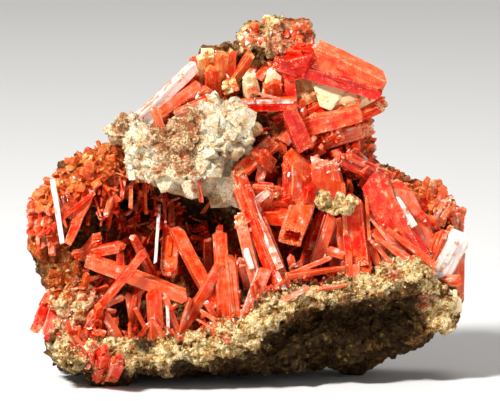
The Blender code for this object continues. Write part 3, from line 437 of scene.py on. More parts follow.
# Stains of the rock, and of the small crystals on it: place, radius and strength of each, by kind.
STAINS = {
    "cream": (
        # Cream crust along the rim, brighter towards the right.
        (22, 71, -17, 4, 0.9), (28, 72, -18, 4, 0.9), (34, 71.5, -18, 4.2, 1), (40, 70, -18, 4.2, 1),
        (46, 68.5, -18, 4, 1), (50.5, 66, -17.5, 3.8, 0.9), (53.5, 63, -17, 3.4, 0.9),
        (57, 60, -17, 3, 0.7), (62, 58.5, -17, 3, 0.7), (67, 57.5, -17, 3, 0.7),
        (72.5, 56.5, -16, 3.2, 0.8), (78, 53.5, -14, 4, 1), (82.5, 53, -13, 4, 1),
        (86.5, 56, -11, 3.4, 0.8), (88.5, 62.5, -9, 3.5, 0.9), (89, 66, -8, 3, 0.9),
        (14, 71, -12, 4.2, 0.9), (12.5, 63, -10, 3.6, 0.8), (17, 61.6, -10, 3.2, 0.7),
        (24, 68.4, -16, 2.4, 0.8), (50, 7.5, -4, 2.8, 0.9), (53.6, 5, -4, 2.8, 1),
        (54.6, 8.4, -6, 3.2, 0.75), (57, 9.6, -6, 2.4, 0.6), (61.4, 6.6, -4, 1.2, 0.6),
        (66.8, 40.6, -12, 5, 1), (83.5, 43.5, -2, 2.8, 0.6), (77, 33, 0, 2.4, 0.5), (47, 14.6, -3, 2, 0.5),
    ),
    "dark": (
        # Dark: painted shade, over partly darker rock, on the face under the rim, in the deep hollow and on
        # the roof over it.
        (51.2, 11.8, -4, 1.8, 0.5), (30, 75, -12, 4, 0.8), (48, 74, -10, 6, 0.9), (58, 70, -14, 7, 0.9),
        (68, 67, -14, 8, 0.9), (78, 64, -12, 6.5, 0.9), (27, 41, 6, 6, 0.8), (38, 45, 6, 7, 0.9),
        (54, 32, 3, 4, 0.8), (10.6, 51.8, -9, 2.8, 0.45), (29, 67.4, -17, 2.2, 1),
        (36.6, 73.4, -17, 2.8, 1), (23.6, 73.8, -17, 1.4, 0.9), (43, 72.4, -17, 1.6, 0.8),
        (71, 73.6, -8, 4.4, 1),
        # Painted shade on the tan underside of the cream block.
        (35.6, 39.4, -9, 2.8, 1), (41.6, 40, -8, 3, 0.9), (46.4, 34, -9, 2.4, 0.9),
        (43.4, 33.6, -10, 1.8, 0.7), (48.4, 24, -10, 1.8, 0.6), (38.4, 23.4, -10, 1.2, 0.7),
        (24.2, 23.6, -8, 1.2, 0.6),
    ),
    "blush": (
        # Pink and brown speckled parts of the cream block.
        (35.5, 28, -12, 4.6, 1), (37, 24, -10, 3.6, 0.9), (32.6, 25, -9, 3, 0.9), (24, 24.4, -8, 2.2, 0.7),
        (38, 33, -12, 2.6, 0.8), (33, 33, -12, 2, 0.6), (39.8, 38.4, -10, 1.4, 0.9), (57, 8, -5, 3.2, 1),
        (60.6, 7.4, -4, 3.2, 1), (12.6, 63.4, -10, 3, 0.9), (52, 8.6, -5, 1.6, 0.6),
        (17.4, 57.6, -10, 3, 0.7), (20, 71.6, -17, 2.4, 0.6), (45.4, 67.2, -17, 1.8, 0.6),
        (78.6, 54.4, -14, 1.8, 0.6), (84.6, 60, -11, 2.2, 0.7),
    ),
    "rusty": (
        # Rusty growth: the wall, the roof's outer edge, the flank.
        (10, 36.6, -9, 5.5, 0.9), (17, 31.5, -6, 6.5, 1), (25, 31, -4, 4, 0.9), (86, 39, -1, 5, 0.6),
        (79, 34.5, 0, 3.5, 0.9), (89.5, 44, -2, 3.5, 0.6), (14, 57, -9, 4.5, 0.8), (26, 38, 2, 5, 0.6),
    ),
    "rust": (
        # Orange-red crust: wall, roof, floor and back of the hollow, flanks, the mass behind the crystals.
        (8, 40, -6, 7, 0.9), (12, 34, -6, 6.5, 0.9), (18.5, 31, -6, 6, 0.8), (25, 31, -4, 5, 0.7),
        (27, 37, 0, 6, 0.7), (9, 48.5, -8, 4.5, 0.9), (12, 61, -9, 4.5, 0.8), (17, 66, -10, 5, 0.9),
        (30, 66.5, -8, 8, 0.8), (42, 64, -8, 7, 0.8), (30, 50, 8, 10, 0.6), (42, 52, 6, 8, 0.6),
        (86, 40, -1, 5, 0.9), (90, 45, -2, 5, 0.8), (88, 50, -4, 5, 0.8), (80, 36, 0, 4.5, 0.8),
        (59.5, 6, -3, 4, 0.8), (42, 16, 0, 6, 0.9), (36, 21, -2, 5, 0.8), (58, 16, 0, 7, 0.8),
        (66, 22, 0, 7, 0.5), (70, 30, 0, 6, 0.9), (60, 32, 0, 8, 0.9), (66, 50, 0, 9, 0.6),
        (54, 50, 0, 7, 0.7), (14, 56, -10, 4.6, 1), (18, 58, -9, 4, 0.9), (21, 75.6, -14, 2.6, 0.9),
    ),
}

# Growth of fine needles: middle on the rock, radius, how many, lengths, widths and tones.
DRUSE = [
    ((8.5, 42, -9), 7, 60, (0.6, 1.8), (0.35, 1), (0.4, 0.62)),
    ((12.5, 34.5, -8), 6.5, 40, (0.6, 1.6), (0.35, 1), (0.4, 0.58)),
    ((20, 31, -6), 6, 30, (0.6, 1.6), (0.35, 1), (0.4, 0.58)),
    ((26, 33.5, -4), 5, 60, (0.8, 3), (0.3, 0.8), (0.35, 0.6)),
    ((26, 38, 2), 7, 110, (1.5, 4.6), (0.3, 0.65), (0.35, 0.62)),
    ((31, 47, 9), 9, 120, (1.5, 4.6), (0.3, 0.7), (0.25, 0.55)),
    ((42, 50, 6), 8, 90, (1.5, 4.2), (0.3, 0.7), (0.25, 0.55)),
    ((26, 66.5, -8), 8, 120, (1.2, 4.2), (0.35, 0.9), (0.4, 0.68)),
    ((38.5, 65.5, -8), 7.5, 100, (1.2, 4.2), (0.35, 0.9), (0.4, 0.68)),
    ((12.5, 62, -11), 5, 40, (0.6, 1.8), (0.35, 0.8), (0.4, 0.75)),
    ((17, 67, -12), 5, 90, (0.9, 3.4), (0.35, 0.8), (0.3, 0.7)),
    ((52, 6, -3), 5, 16, (0.5, 1.2), (0.3, 0.7), (0.5, 0.85)),
    ((58.5, 6.5, -3), 4.5, 10, (0.5, 1.2), (0.4, 0.8), (0.45, 0.7)),
    ((41, 17, -2), 6, 90, (1, 3.6), (0.4, 1), (0.45, 0.75)),
    ((34, 22, -3), 5, 60, (1, 3.6), (0.4, 1), (0.45, 0.72)),
    ((60, 15, -2), 6, 80, (0.9, 3.2), (0.35, 0.9), (0.35, 0.7)),
    ((67, 24, -2), 7, 90, (0.9, 3.2), (0.35, 0.9), (0.4, 0.8)),
    ((56, 26, 0), 6, 60, (1, 3.6), (0.4, 0.9), (0.25, 0.6)),
    ((71, 31, -1), 6, 50, (0.8, 2), (0.4, 1), (0.4, 0.7)),
    ((80, 37, -2), 5, 50, (0.6, 1.6), (0.35, 0.9), (0.45, 0.75)),
    ((86, 40, -2), 5, 50, (0.6, 1.6), (0.4, 1), (0.45, 0.75)),
    ((90, 46, -3), 5, 40, (0.6, 1.6), (0.4, 1), (0.45, 0.75)),
    ((88, 53, -5), 4.5, 70, (0.8, 2.8), (0.35, 0.8), (0.45, 0.75)),
    ((52, 58, -10), 5, 60, (0.9, 3), (0.35, 0.8), (0.4, 0.7)),
    ((64, 52, -6), 7, 80, (1, 3.6), (0.35, 0.9), (0.3, 0.65)),
    ((75, 50, -8), 5, 70, (1, 3.2), (0.35, 0.9), (0.4, 0.7)),
    # A thin scatter over the back and the sides.
    ((30, 45, 14), 22, 110, (0.8, 2.8), (0.35, 0.8), (0.35, 0.7)),
    ((62, 40, 14), 26, 130, (0.8, 2.8), (0.35, 0.8), (0.35, 0.7)),
]

# Small prisms that fill the dense places: as the needles, then the way that most of them point.
THICKETS = [
    ((60, 28, -3), 5, 14, (3, 5.5), (1.8, 3.6), (0.15, 0.6), (0.1, -1.4, 0.1)),
    ((66, 28, -3), 5, 16, (3, 5.5), (1.8, 3.6), (0.3, 0.62), (0.1, -1.4, 0.1)),
    ((72, 29, -2), 4, 14, (1.8, 3.8), (1.6, 3), (0.4, 0.66), (0.1, -1.4, 0)),
    ((70, 35, -3), 5, 12, (3.5, 7), (2, 3.6), (0.3, 0.6), (0, -0.8, 0.3)),
    ((63, 37, -3), 5, 10, (3.5, 7), (2, 3.6), (0.2, 0.6), (0, -0.8, 0.2)),
    ((55, 41, -4), 4, 10, (3, 6), (1.6, 3.2), (0.2, 0.6), (0, -0.8, 0)),
    ((80, 38, -2), 4, 12, (2, 4.4), (1.6, 3), (0.3, 0.6), (-0.2, -1.4, 0.1)),
    ((82, 47, -5), 5, 12, (3, 6), (1.6, 3.2), (0.3, 0.6), (-0.3, -0.8, 0.3)),
    ((88, 47, -3), 5, 16, (1.6, 3.4), (1.4, 2.8), (0.4, 0.66), (0.1, -1.2, 0.2)),
    ((84, 39, -1), 4, 12, (1.4, 3), (1.4, 2.8), (0.42, 0.62), (0, -1.2, 0.3)),
    ((62, 31, -3), 5, 16, (4, 8), (0.9, 1.9), (0.35, 0.68), (0.2, -0.6, 0.6)),
    ((69, 29, -2), 5, 14, (2.5, 5), (0.8, 1.8), (0.45, 0.72), (0.3, -0.9, 0.2)),
    ((75, 38, -2), 5, 16, (2.5, 5), (0.9, 1.9), (0.4, 0.7), (-0.5, -1, 0.4)),
    ((84, 48, -3), 6, 18, (3, 6.5), (0.8, 1.7), (0.45, 0.72), (0.3, -0.6, 0.6)),
    ((88, 44, -2), 5, 14, (1.6, 3.4), (0.8, 1.6), (0.45, 0.7), (0.1, -0.9, 0.5)),
    ((58, 46, -2), 6, 14, (4, 8), (0.9, 1.8), (0.3, 0.6), (-0.2, -0.6, 0.7)),
    ((68, 50, -2), 6, 16, (4, 9), (0.8, 1.6), (0.35, 0.65), (0, -0.4, 0.9)),
    ((50, 58, -8), 5, 12, (3, 7), (0.8, 1.5), (0.4, 0.68), (-0.1, -0.4, 0.9)),
    ((28, 66, -6), 8, 44, (3, 9), (0.7, 1.7), (0.4, 0.68), (0, -0.3, 0.9)),
    ((20, 60, -3), 6, 40, (2.4, 6), (0.8, 1.9), (0.3, 0.6), (0.4, -0.7, 0.6)),
    ((40, 65, -6), 7, 20, (3, 9), (0.7, 1.5), (0.4, 0.66), (0.1, -0.3, 0.9)),
    ((32, 48, 8), 8, 18, (4, 10), (0.7, 1.6), (0.25, 0.55), (0, -0.8, -0.3)),
    ((24, 38, 0), 6, 20, (3, 8), (0.6, 1.3), (0.35, 0.62), (0, -0.5, -0.8)),
    ((21, 42, 4), 7, 40, (3, 8), (0.7, 1.5), (0.25, 0.52), (0.1, -1, -0.5)),
    ((29, 43, 7), 7, 40, (3, 8), (0.6, 1.4), (0.2, 0.5), (0, -1, -0.5)),
    ((37, 45, 7), 6, 26, (3, 8), (0.7, 1.5), (0.2, 0.5), (0.1, -1, -0.2)),
    ((11, 39.6, -9), 5.4, 56, (2, 4.4), (0.9, 2.3), (0.4, 0.66), (-0.2, -0.8, -0.9)),
    ((17.6, 33, -7), 4.6, 46, (2, 4.4), (1, 2.6), (0.38, 0.62), (-0.4, -0.9, -0.5)),
    ((8, 46, -9), 4, 24, (1.8, 4), (0.8, 1.8), (0.45, 0.85), (-0.3, -0.7, -0.6)),
    ((15.5, 66, -10), 5, 60, (1.8, 4.4), (0.7, 1.8), (0.36, 0.7), (0.2, -0.8, 0.5)),
    ((42.4, 17, -1), 4, 16, (2, 4.4), (0.8, 1.7), (0.45, 0.75), (0.3, -0.8, 0.5)),
    ((35.6, 22.6, -3), 3, 12, (2, 4), (0.8, 1.6), (0.45, 0.7), (0.6, -0.8, 0.1)),
    ((59, 9, -3), 4, 8, (1.4, 3), (1, 2), (0.25, 0.55), (0.3, -0.8, 0)),
    ((21, 72, -15), 4, 16, (1.2, 2.6), (0.9, 1.8), (0.2, 0.6), (0, -1.2, 0.2)),
]

# Broken bits lying between and on the crystals: as the needles, on the finished pieces named first.
RUBBLE_LIES_ON = ("gossan_front", "knob_crust", "crown_crystals", "centre_crystals", "right_crystals")
RUBBLE = [
    ((18, 31, -6), 6, 40, (0.7, 2), (0.5, 1.2), (0.34, 0.66)),
    ((17, 31, -7), 5, 34, (2, 4.4), (1, 2.4), (0.38, 0.66)),
    ((25, 30, -5), 4, 40, (0.8, 2.4), (0.7, 1.8), (0.38, 0.6)),
    ((86, 41, -2), 6, 130, (0.7, 2), (0.4, 1.1), (0.4, 0.8)),
    ((85, 41, -2), 5, 30, (2, 4.2), (0.9, 2.2), (0.46, 0.8)),
    ((79, 36, -1), 5, 80, (0.7, 2), (0.4, 1.1), (0.35, 0.8)),
    ((79, 36, -2), 4, 10, (2, 3.4), (1.2, 2.4), (0.38, 0.6)),
    ((60.6, 7.4, -5), 2.6, 60, (1, 2.6), (0.9, 2), (0.36, 0.66)),
    ((50, 8.4, -5), 3, 60, (0.8, 2.2), (0.7, 1.7), (0.55, 0.98)),
    ((55, 8, -6), 3, 50, (0.4, 1), (0.4, 0.9), (0.45, 0.95)),
    ((7.6, 46, -9), 5, 60, (0.7, 2.2), (0.5, 1.3), (0.45, 0.95)),
    ((14.5, 57, -9), 4, 20, (0.6, 1.8), (0.4, 1), (0.35, 0.8)),
    ((64, 30, -8), 6, 60, (0.8, 2.6), (0.5, 1.3), (0.2, 0.85)),
    ((72, 31, -5), 6, 70, (0.8, 2.4), (0.5, 1.2), (0.35, 0.85)),
    ((60, 34, -8), 6, 60, (0.8, 2.6), (0.5, 1.3), (0.2, 0.8)),
    ((76, 42, -8), 7, 60, (0.8, 2.6), (0.5, 1.2), (0.3, 0.85)),
    ((84, 46, -6), 6, 80, (0.8, 2.4), (0.5, 1.2), (0.4, 0.9)),
    ((88, 50, -6), 5, 60, (0.7, 2.2), (0.5, 1.1), (0.4, 0.95)),
    ((60, 54, -11), 6, 60, (0.8, 2.4), (0.5, 1.1), (0.35, 0.9)),
    ((50, 60, -12), 6, 60, (0.8, 2.4), (0.5, 1.1), (0.35, 0.9)),
    ((50, 42, -9), 5, 40, (0.7, 2.2), (0.4, 1), (0.4, 1)),
    ((70, 56, -11), 5, 40, (0.7, 2.2), (0.4, 1), (0.4, 0.9)),
    ((66, 24, -7), 6, 50, (0.7, 2.2), (0.4, 1), (0.3, 0.85)),
    ((56, 18, -7), 6, 40, (0.7, 2.2), (0.4, 1), (0.3, 0.85)),
    ((42, 17, -5), 6, 60, (0.7, 2.4), (0.5, 1.1), (0.45, 0.95)),
    ((24, 64, -11), 8, 90, (0.7, 2.2), (0.4, 1), (0.4, 0.85)),
    ((40, 64, -11), 8, 80, (0.7, 2.2), (0.4, 1), (0.4, 0.85)),
    ((14, 62, -10), 6, 90, (0.8, 2.4), (0.6, 1.5), (0.4, 1)),
    ((10, 38, -9), 7, 50, (0.7, 2), (0.5, 1.2), (0.36, 0.8)),
    ((10, 37, -9), 6, 40, (2, 4.4), (1, 2.4), (0.42, 0.72)),
    ((22, 75, -14), 3, 40, (0.7, 2), (0.6, 1.4), (0.2, 0.6)),
    ((66, 32.4, -9), 2.4, 34, (0.6, 1.5), (0.25, 0.6), (0.66, 0.94)),
    ((77, 33.4, -6), 3, 34, (0.6, 1.5), (0.25, 0.6), (0.72, 1)),
    ((70, 40.4, -10), 2.2, 24, (0.5, 1.3), (0.25, 0.6), (0.75, 1)),
]

# Loose grains in the crust: middle on the rock, radius, how many, sizes and tones (dark to white).
GRAINS = [
    ((22, 70.5, -17), 5, 110, (0.25, 0.7), (0.5, 0.9)),
    ((32, 70.5, -18), 6, 150, (0.25, 0.7), (0.5, 0.9)),
    ((42, 69, -18), 6, 150, (0.25, 0.7), (0.55, 0.9)),
    ((52, 64.5, -17), 5.5, 130, (0.25, 0.7), (0.55, 0.9)),
    ((62, 59, -17), 6, 110, (0.25, 0.65), (0.5, 0.85)),
    ((72, 56.5, -16), 5, 110, (0.25, 0.65), (0.5, 0.85)),
    ((81, 53.5, -13), 5.5, 140, (0.25, 0.75), (0.6, 0.95)),
    ((87, 61, -9), 5, 110, (0.25, 0.7), (0.5, 0.9)),
    ((14, 70.5, -12), 5, 110, (0.25, 0.7), (0.5, 0.95)),
    ((12, 54, -10), 5, 90, (0.25, 0.65), (0.1, 0.5)),
    ((18, 58, -9), 5, 90, (0.25, 0.65), (0.2, 0.6)),
    ((10, 44, -9), 7, 110, (0.25, 0.65), (0.3, 0.75)),
    ((12.5, 63, -11), 4, 90, (0.25, 0.65), (0.55, 1)),
    ((51, 7, -3), 4, 80, (0.3, 0.8), (0.4, 0.9)),
    ((58, 7, -3), 4, 60, (0.3, 0.8), (0.35, 0.6)),
    ((84, 40, -2), 6, 90, (0.3, 0.9), (0.35, 0.8)),
    ((78, 34, 0), 4, 70, (0.3, 0.9), (0.35, 0.7)),
    # Dark grains under the rim: painted shade over dark rock.
    ((65, 66, -14), 14, 120, (0.25, 0.7), (0.02, 0.2)),
    ((50, 50, 14), 34, 420, (0.25, 0.75), (0, 0.75)),
]


def spot(place):
    """A place read off the front of the specimen, in the frame's millimetres."""
    across, down, depth = place
    height = (TABLE_DOWN - down - depth * math.sin(SEEN_FROM_ABOVE)) / math.cos(SEEN_FROM_ABOVE)
    return Vector((across - MIDDLE_ACROSS, depth + MIDDLE_DEPTH, height))


def axes_along(direction, turn):
    """Sideways and outward directions of a crystal, as its front is seen, turned about its length."""
    towards_viewer = Vector((0, -1, 0))
    if abs(direction.dot(towards_viewer)) > 0.9:
        towards_viewer = Vector((0, 0, 1))
    side = towards_viewer.cross(direction).normalized()
    out = direction.cross(side)
    spin = Matrix.Rotation(math.radians(turn), 3, direction)
    return spin @ side, spin @ out


def inside_box(point):
    """Whether a point, in millimetres, is inside the CAD's box."""
    low, high = CAD_BOX
    return all(low[i] / MM + BOX_MARGIN < point[i] < high[i] / MM - BOX_MARGIN for i in range(3))


def smooth_step(value):
    value = min(1.0, max(0.0, value))
    return value * value * (3 - 2 * value)


# Materials.


class Nodes:
    """A new material, and short calls that add its nodes. A colour is a value, an output or a name."""

    def __init__(self, name, colours):
        self.name = name
        self.colours = colours
        self.material = bpy.data.materials.new(name + "_looks")
        self.material.use_nodes = True
        self.tree = self.material.node_tree
        self.shader = self.tree.nodes["Principled BSDF"]
        place = self.add("TexCoord").outputs["Object"]
        self.place = self.add("VectorMath", {0: place, "Scale": 1 / MM}, operation="SCALE").outputs[0]

    def fill(self, node, inputs):
        """Sets a node's inputs to values, or links them to outputs."""
        for key, value in inputs.items():
            if isinstance(value, bpy.types.NodeSocket):
                self.tree.links.new(value, node.inputs[key])
            else:
                node.inputs[key].default_value = value

    def add(self, kind, inputs=None, **settings):
        node = self.tree.nodes.new("ShaderNode" + kind)
        for key, value in settings.items():
            setattr(node, key, value)
        self.fill(node, inputs or {})
        return node

    def colour(self, value):
        if isinstance(value, bpy.types.NodeSocket):
            return value
        if isinstance(value, str):
            value = getattr(self.colours, value)
        return (*value[:3], 1.0)

    def noise(self, scale, detail=3.0, roughness=0.6, vector=None):
        inputs = {"Vector": vector or self.place, "Scale": scale, "Detail": detail, "Roughness": roughness}
        return self.add("TexNoise", inputs).outputs["Fac"]

    def mark(self, name):
        """A value that the mesh carries."""
        return self.add("Attribute", attribute_name=name).outputs["Fac"]

    def ranged(self, value, low, high, to_low=0.0, to_high=1.0):
        inputs = {"Value": value, "From Min": low, "From Max": high, "To Min": to_low, "To Max": to_high}
        return self.add("MapRange", inputs).outputs[0]

    def plus(self, first, second, clamp=False):
        return self.add("Math", {0: first, 1: second}, operation="ADD", use_clamp=clamp).outputs[0]

    def times(self, first, second):
        return self.add("Math", {0: first, 1: second}, operation="MULTIPLY").outputs[0]

    def stirred(self, value, source, amount, low=0.3, high=0.7):
        """A value that wanders up and down by an amount with a noise."""
        return self.plus(value, self.ranged(source, low, high, -amount, amount))

    def blended(self, amount, first, second, kind="MIX"):
        inputs = {0: amount, 6: self.colour(first), 7: self.colour(second)}
        return self.add("Mix", inputs, data_type="RGBA", blend_type=kind).outputs[2]

    def ramp(self, value, *stops):
        """A colour ramp; stops are (place, colour)."""
        node = self.add("ValToRGB", {0: value})
        elements = node.color_ramp.elements
        while len(elements) < len(stops):
            elements.new(0.5)
        for element, (place, colour) in zip(elements, stops):
            element.position = place
            element.color = self.colour(colour)
        return node.outputs["Color"]

    def bumps(self, *layers):
        """A normal with bumps laid over one another: height, distance in millimetres and strength of each."""
        under = None
        for height, distance, strength in layers:
            inputs = {"Height": height, "Distance": distance * MM, "Strength": strength}
            if under is not None:
                inputs["Normal"] = under
            under = self.add("Bump", inputs).outputs[0]
        return under

    def crumbs(self, size, middling):
        """Crumbs of a crust: the tone of each crumb, another random value, and how far its border is."""
        stirred = self.add("TexNoise", {"Vector": self.place, "Scale": 0.9 / size, "Detail": 2.0})
        off = {0: stirred.outputs["Color"], "Scale": 0.7 * size}
        off = self.add("VectorMath", off, operation="SCALE").outputs[0]
        moved = self.add("VectorMath", {0: self.place, 1: off}, operation="ADD").outputs[0]
        cells = self.add("TexVoronoi", {"Vector": moved, "Scale": 1 / size})
        border = self.add("TexVoronoi", {"Vector": moved, "Scale": 1 / size}, feature="DISTANCE_TO_EDGE")
        shade = self.add("SeparateColor", {0: cells.outputs["Color"]}).outputs
        own = self.ranged(shade[0], 0.0, 1.0, 0.0, 0.26)
        pick = self.plus(own, self.ranged(middling, 0.33, 0.67, 0.0, 0.74))
        return pick, shade[1], border.outputs["Distance"]

    def strips(self, across, along):
        """The faces' own strips, stretched so that a noise on them runs along the crystal."""
        uv = self.add("UVMap", uv_map="faces").outputs[0]
        return self.add("Mapping", {"Vector": uv, "Scale": (across, along, 1.0)}).outputs[0]


def gossan_finish(nodes):
    """Rough brown gossan, stained by the marks that the mesh carries: rust, cream and blush, with painted
    shade from the dark and pit marks.
    """
    broad = nodes.noise(0.25, 4.0)
    grain = nodes.noise(1.3, 5.0, 0.75)
    fine = nodes.noise(4.2, 3.0, 0.7)
    pick, other, border = nodes.crumbs(0.5, nodes.noise(0.7, 5.0, 0.72))
    brown = nodes.stirred(pick, broad, 0.25)
    brown = nodes.ramp(brown, (0.0, "pit"), (0.3, "gossan_dark"), (0.6, "gossan"), (1.0, "gossan_pale"))
    rust = nodes.ramp(pick, (0.0, "gossan_dark"), (0.2, "rust_red"), (0.6, "rust"), (0.93, "crust_yellow"))
    cream = ((0.1, "gossan_dark"), (0.27, "gossan_pale"), (0.42, "crust_yellow"), (0.62, "crust_cream"))
    cream = nodes.ramp(pick, *cream)
    blush = nodes.ramp(pick, (0.0, "gossan"), (0.3, "speck_red"), (0.5, "blush"), (0.8, "crust_cream"))
    mottle = nodes.ranged(nodes.noise(0.8, 4.0, 0.7), 0.35, 0.65, 0.0, 0.85)
    olive = nodes.plus(mottle, nodes.ranged(pick, 0.0, 1.0, -0.15, 0.2))
    olive = nodes.ramp(olive, (0.15, "pit"), (0.5, "underside"), (0.85, "olive"), (1.0, "olive_pale"))
    stir = nodes.ranged(grain, 0.3, 0.7, -0.32, 0.32)
    patch = nodes.ranged(nodes.noise(0.42, 4.0, 0.7), 0.38, 0.62, -0.55, 0.3)
    rusty = nodes.plus(nodes.mark("rust"), stir)
    creamy = nodes.plus(nodes.plus(nodes.mark("cream"), stir), patch)
    rosy = nodes.plus(nodes.mark("blush"), stir)
    shady = nodes.plus(nodes.mark("dark"), stir)
    colour = nodes.blended(nodes.ranged(rusty, 0.3, 0.5), brown, rust)
    colour = nodes.blended(nodes.ranged(creamy, 0.2, 0.4), colour, cream)
    colour = nodes.blended(nodes.ranged(rosy, 0.2, 0.5, 0.0, 0.9), colour, blush)
    # Painted shade: the dark mark turns faces under the rim and in the hollow to the dark olive underside,
    # which is partly the rock's own colour.
    colour = nodes.blended(nodes.ranged(shady, 0.25, 0.75, 0.0, 0.97), colour, olive)
    # Painted shade between crumbs and in pits, cracks and creases.
    gaps = nodes.ranged(nodes.stirred(border, fine, 0.05), 0.0, 0.1, 0.25, 0.0)
    colour = nodes.blended(gaps, colour, "gap", "MULTIPLY")
    colour = nodes.blended(nodes.ranged(nodes.mark("pit"), 0.3, 0.95, 0.0, 0.8), colour, "gap", "MULTIPLY")
    shading = nodes.ramp(fine, (0.3, (0.7, 0.65, 0.6)), (0.5, (1, 1, 1)))
    rounded = nodes.ranged(border, 0.0, 0.3)
    looks = {
        "Base Color": nodes.blended(1.0, colour, shading, "MULTIPLY"),
        "Roughness": nodes.ranged(other, 0.0, 1.0, 0.95, 0.6),
        "Specular IOR Level": 0.12,
        "Normal": nodes.bumps((rounded, 0.18, 1.0), (grain, 0.8, 0.7), (fine, 0.2, 0.7)),
    }
    nodes.fill(nodes.shader, looks)


def block_finish(nodes):
    """The cream block: knobbly cream crust with pink and dark crumbs, and painted tan shade on its downward
    faces, between its crumbs and in its pits.
    """
    grain = nodes.noise(1.1, 5.0, 0.75)
    fine = nodes.noise(4.0, 3.0, 0.7)
    broad = nodes.noise(0.28, 3.0)
    pick, _other, border = nodes.crumbs(0.5, nodes.noise(0.5, 5.0, 0.7))
    cream = nodes.ramp(pick, (0.14, "block_tan"), (0.38, "block_cream"), (0.56, "block_white"))
    pinkish = ((0.05, "gossan"), (0.22, "speck_red"), (0.36, "block_pink"), (0.58, "block_cream"))
    pinkish = nodes.ramp(pick, *pinkish)
    amount = nodes.stirred(nodes.mark("blush"), grain, 0.3)
    amount = nodes.ranged(nodes.plus(amount, nodes.ranged(broad, 0.5, 0.7, 0.0, 0.4)), 0.3, 0.6)
    colour = nodes.blended(amount, cream, pinkish)
    # Painted shade between crumbs.
    gaps = nodes.ranged(nodes.stirred(border, fine, 0.06), 0.0, 0.09, 0.36, 0.0)
    colour = nodes.blended(gaps, colour, "gap", "MULTIPLY")
    # Painted shade: the dark mark turns the block's downward faces tan.
    colour = nodes.blended(nodes.ranged(nodes.mark("dark"), 0.0, 1.0, 0.0, 0.7), colour, "block_under")
    specks = nodes.plus(nodes.noise(1.9, 4.0, 0.8), nodes.ranged(amount, 0.0, 1.0, -0.02, 0.1))
    colour = nodes.blended(nodes.ranged(specks, 0.57, 0.62, 0.0, 0.92), colour, "gossan")
    # Painted shade in the pits.
    colour = nodes.blended(nodes.ranged(nodes.mark("pit"), 0.3, 0.9, 0.0, 0.66), colour, "block_shade")
    shading = nodes.ramp(fine, (0.3, (0.85, 0.7, 0.5)), (0.5, (1, 1, 1)))
    rounded = nodes.ranged(border, 0.0, 0.3)
    looks = {
        "Base Color": nodes.blended(1.0, colour, shading, "MULTIPLY"),
        "Roughness": 0.75,
        "Specular IOR Level": 0.2,
        "Normal": nodes.bumps((rounded, 0.16, 1.0), (grain, 0.8, 0.8), (fine, 0.2, 0.8)),
    }
    nodes.fill(nodes.shader, looks)


def grain_finish(nodes):
    """Loose grains, from near black through rust and yellow to cream, by the tone that each carries."""
    fine = nodes.noise(3.0, 3.0, 0.7)
    stops = (
        (0.0, "pit"),
        (0.22, "gossan"),
        (0.4, "rust"),
        (0.5, "speck_red"),
        (0.58, "crust_yellow"),
        (0.85, "crust_cream"),
        (1.0, (0.92, 0.86, 0.72)),
    )
    looks = {
        "Base Color": nodes.ramp(nodes.stirred(nodes.mark("tone"), fine, 0.08), *stops),
        "Roughness": 0.85,
        "Specular IOR Level": 0.12,
        "Normal": nodes.bumps((fine, 0.25, 0.7)),
    }
    nodes.fill(nodes.shader, looks)


# Crocoite from ruby through orange red and silvery pink to the glint colour, a painted highlight, and that of
# the crest, with pale yellow ends.
CRYSTAL_RAMPS = {
    "crocoite": (
        (0.0, "ruby"),
        (0.24, "vivid_red"),
        (0.46, "orange_red"),
        (0.66, "salmon"),
        (0.86, "pink"),
        (1.0, "glint"),
    ),
    "amber_crocoite": (
        (0.15, "vivid_red"),
        (0.42, "orange_red"),
        (0.58, "salmon"),
        (0.72, "amber"),
        (0.86, "amber_pale"),
        (1.0, "crust_cream"),
    ),
}


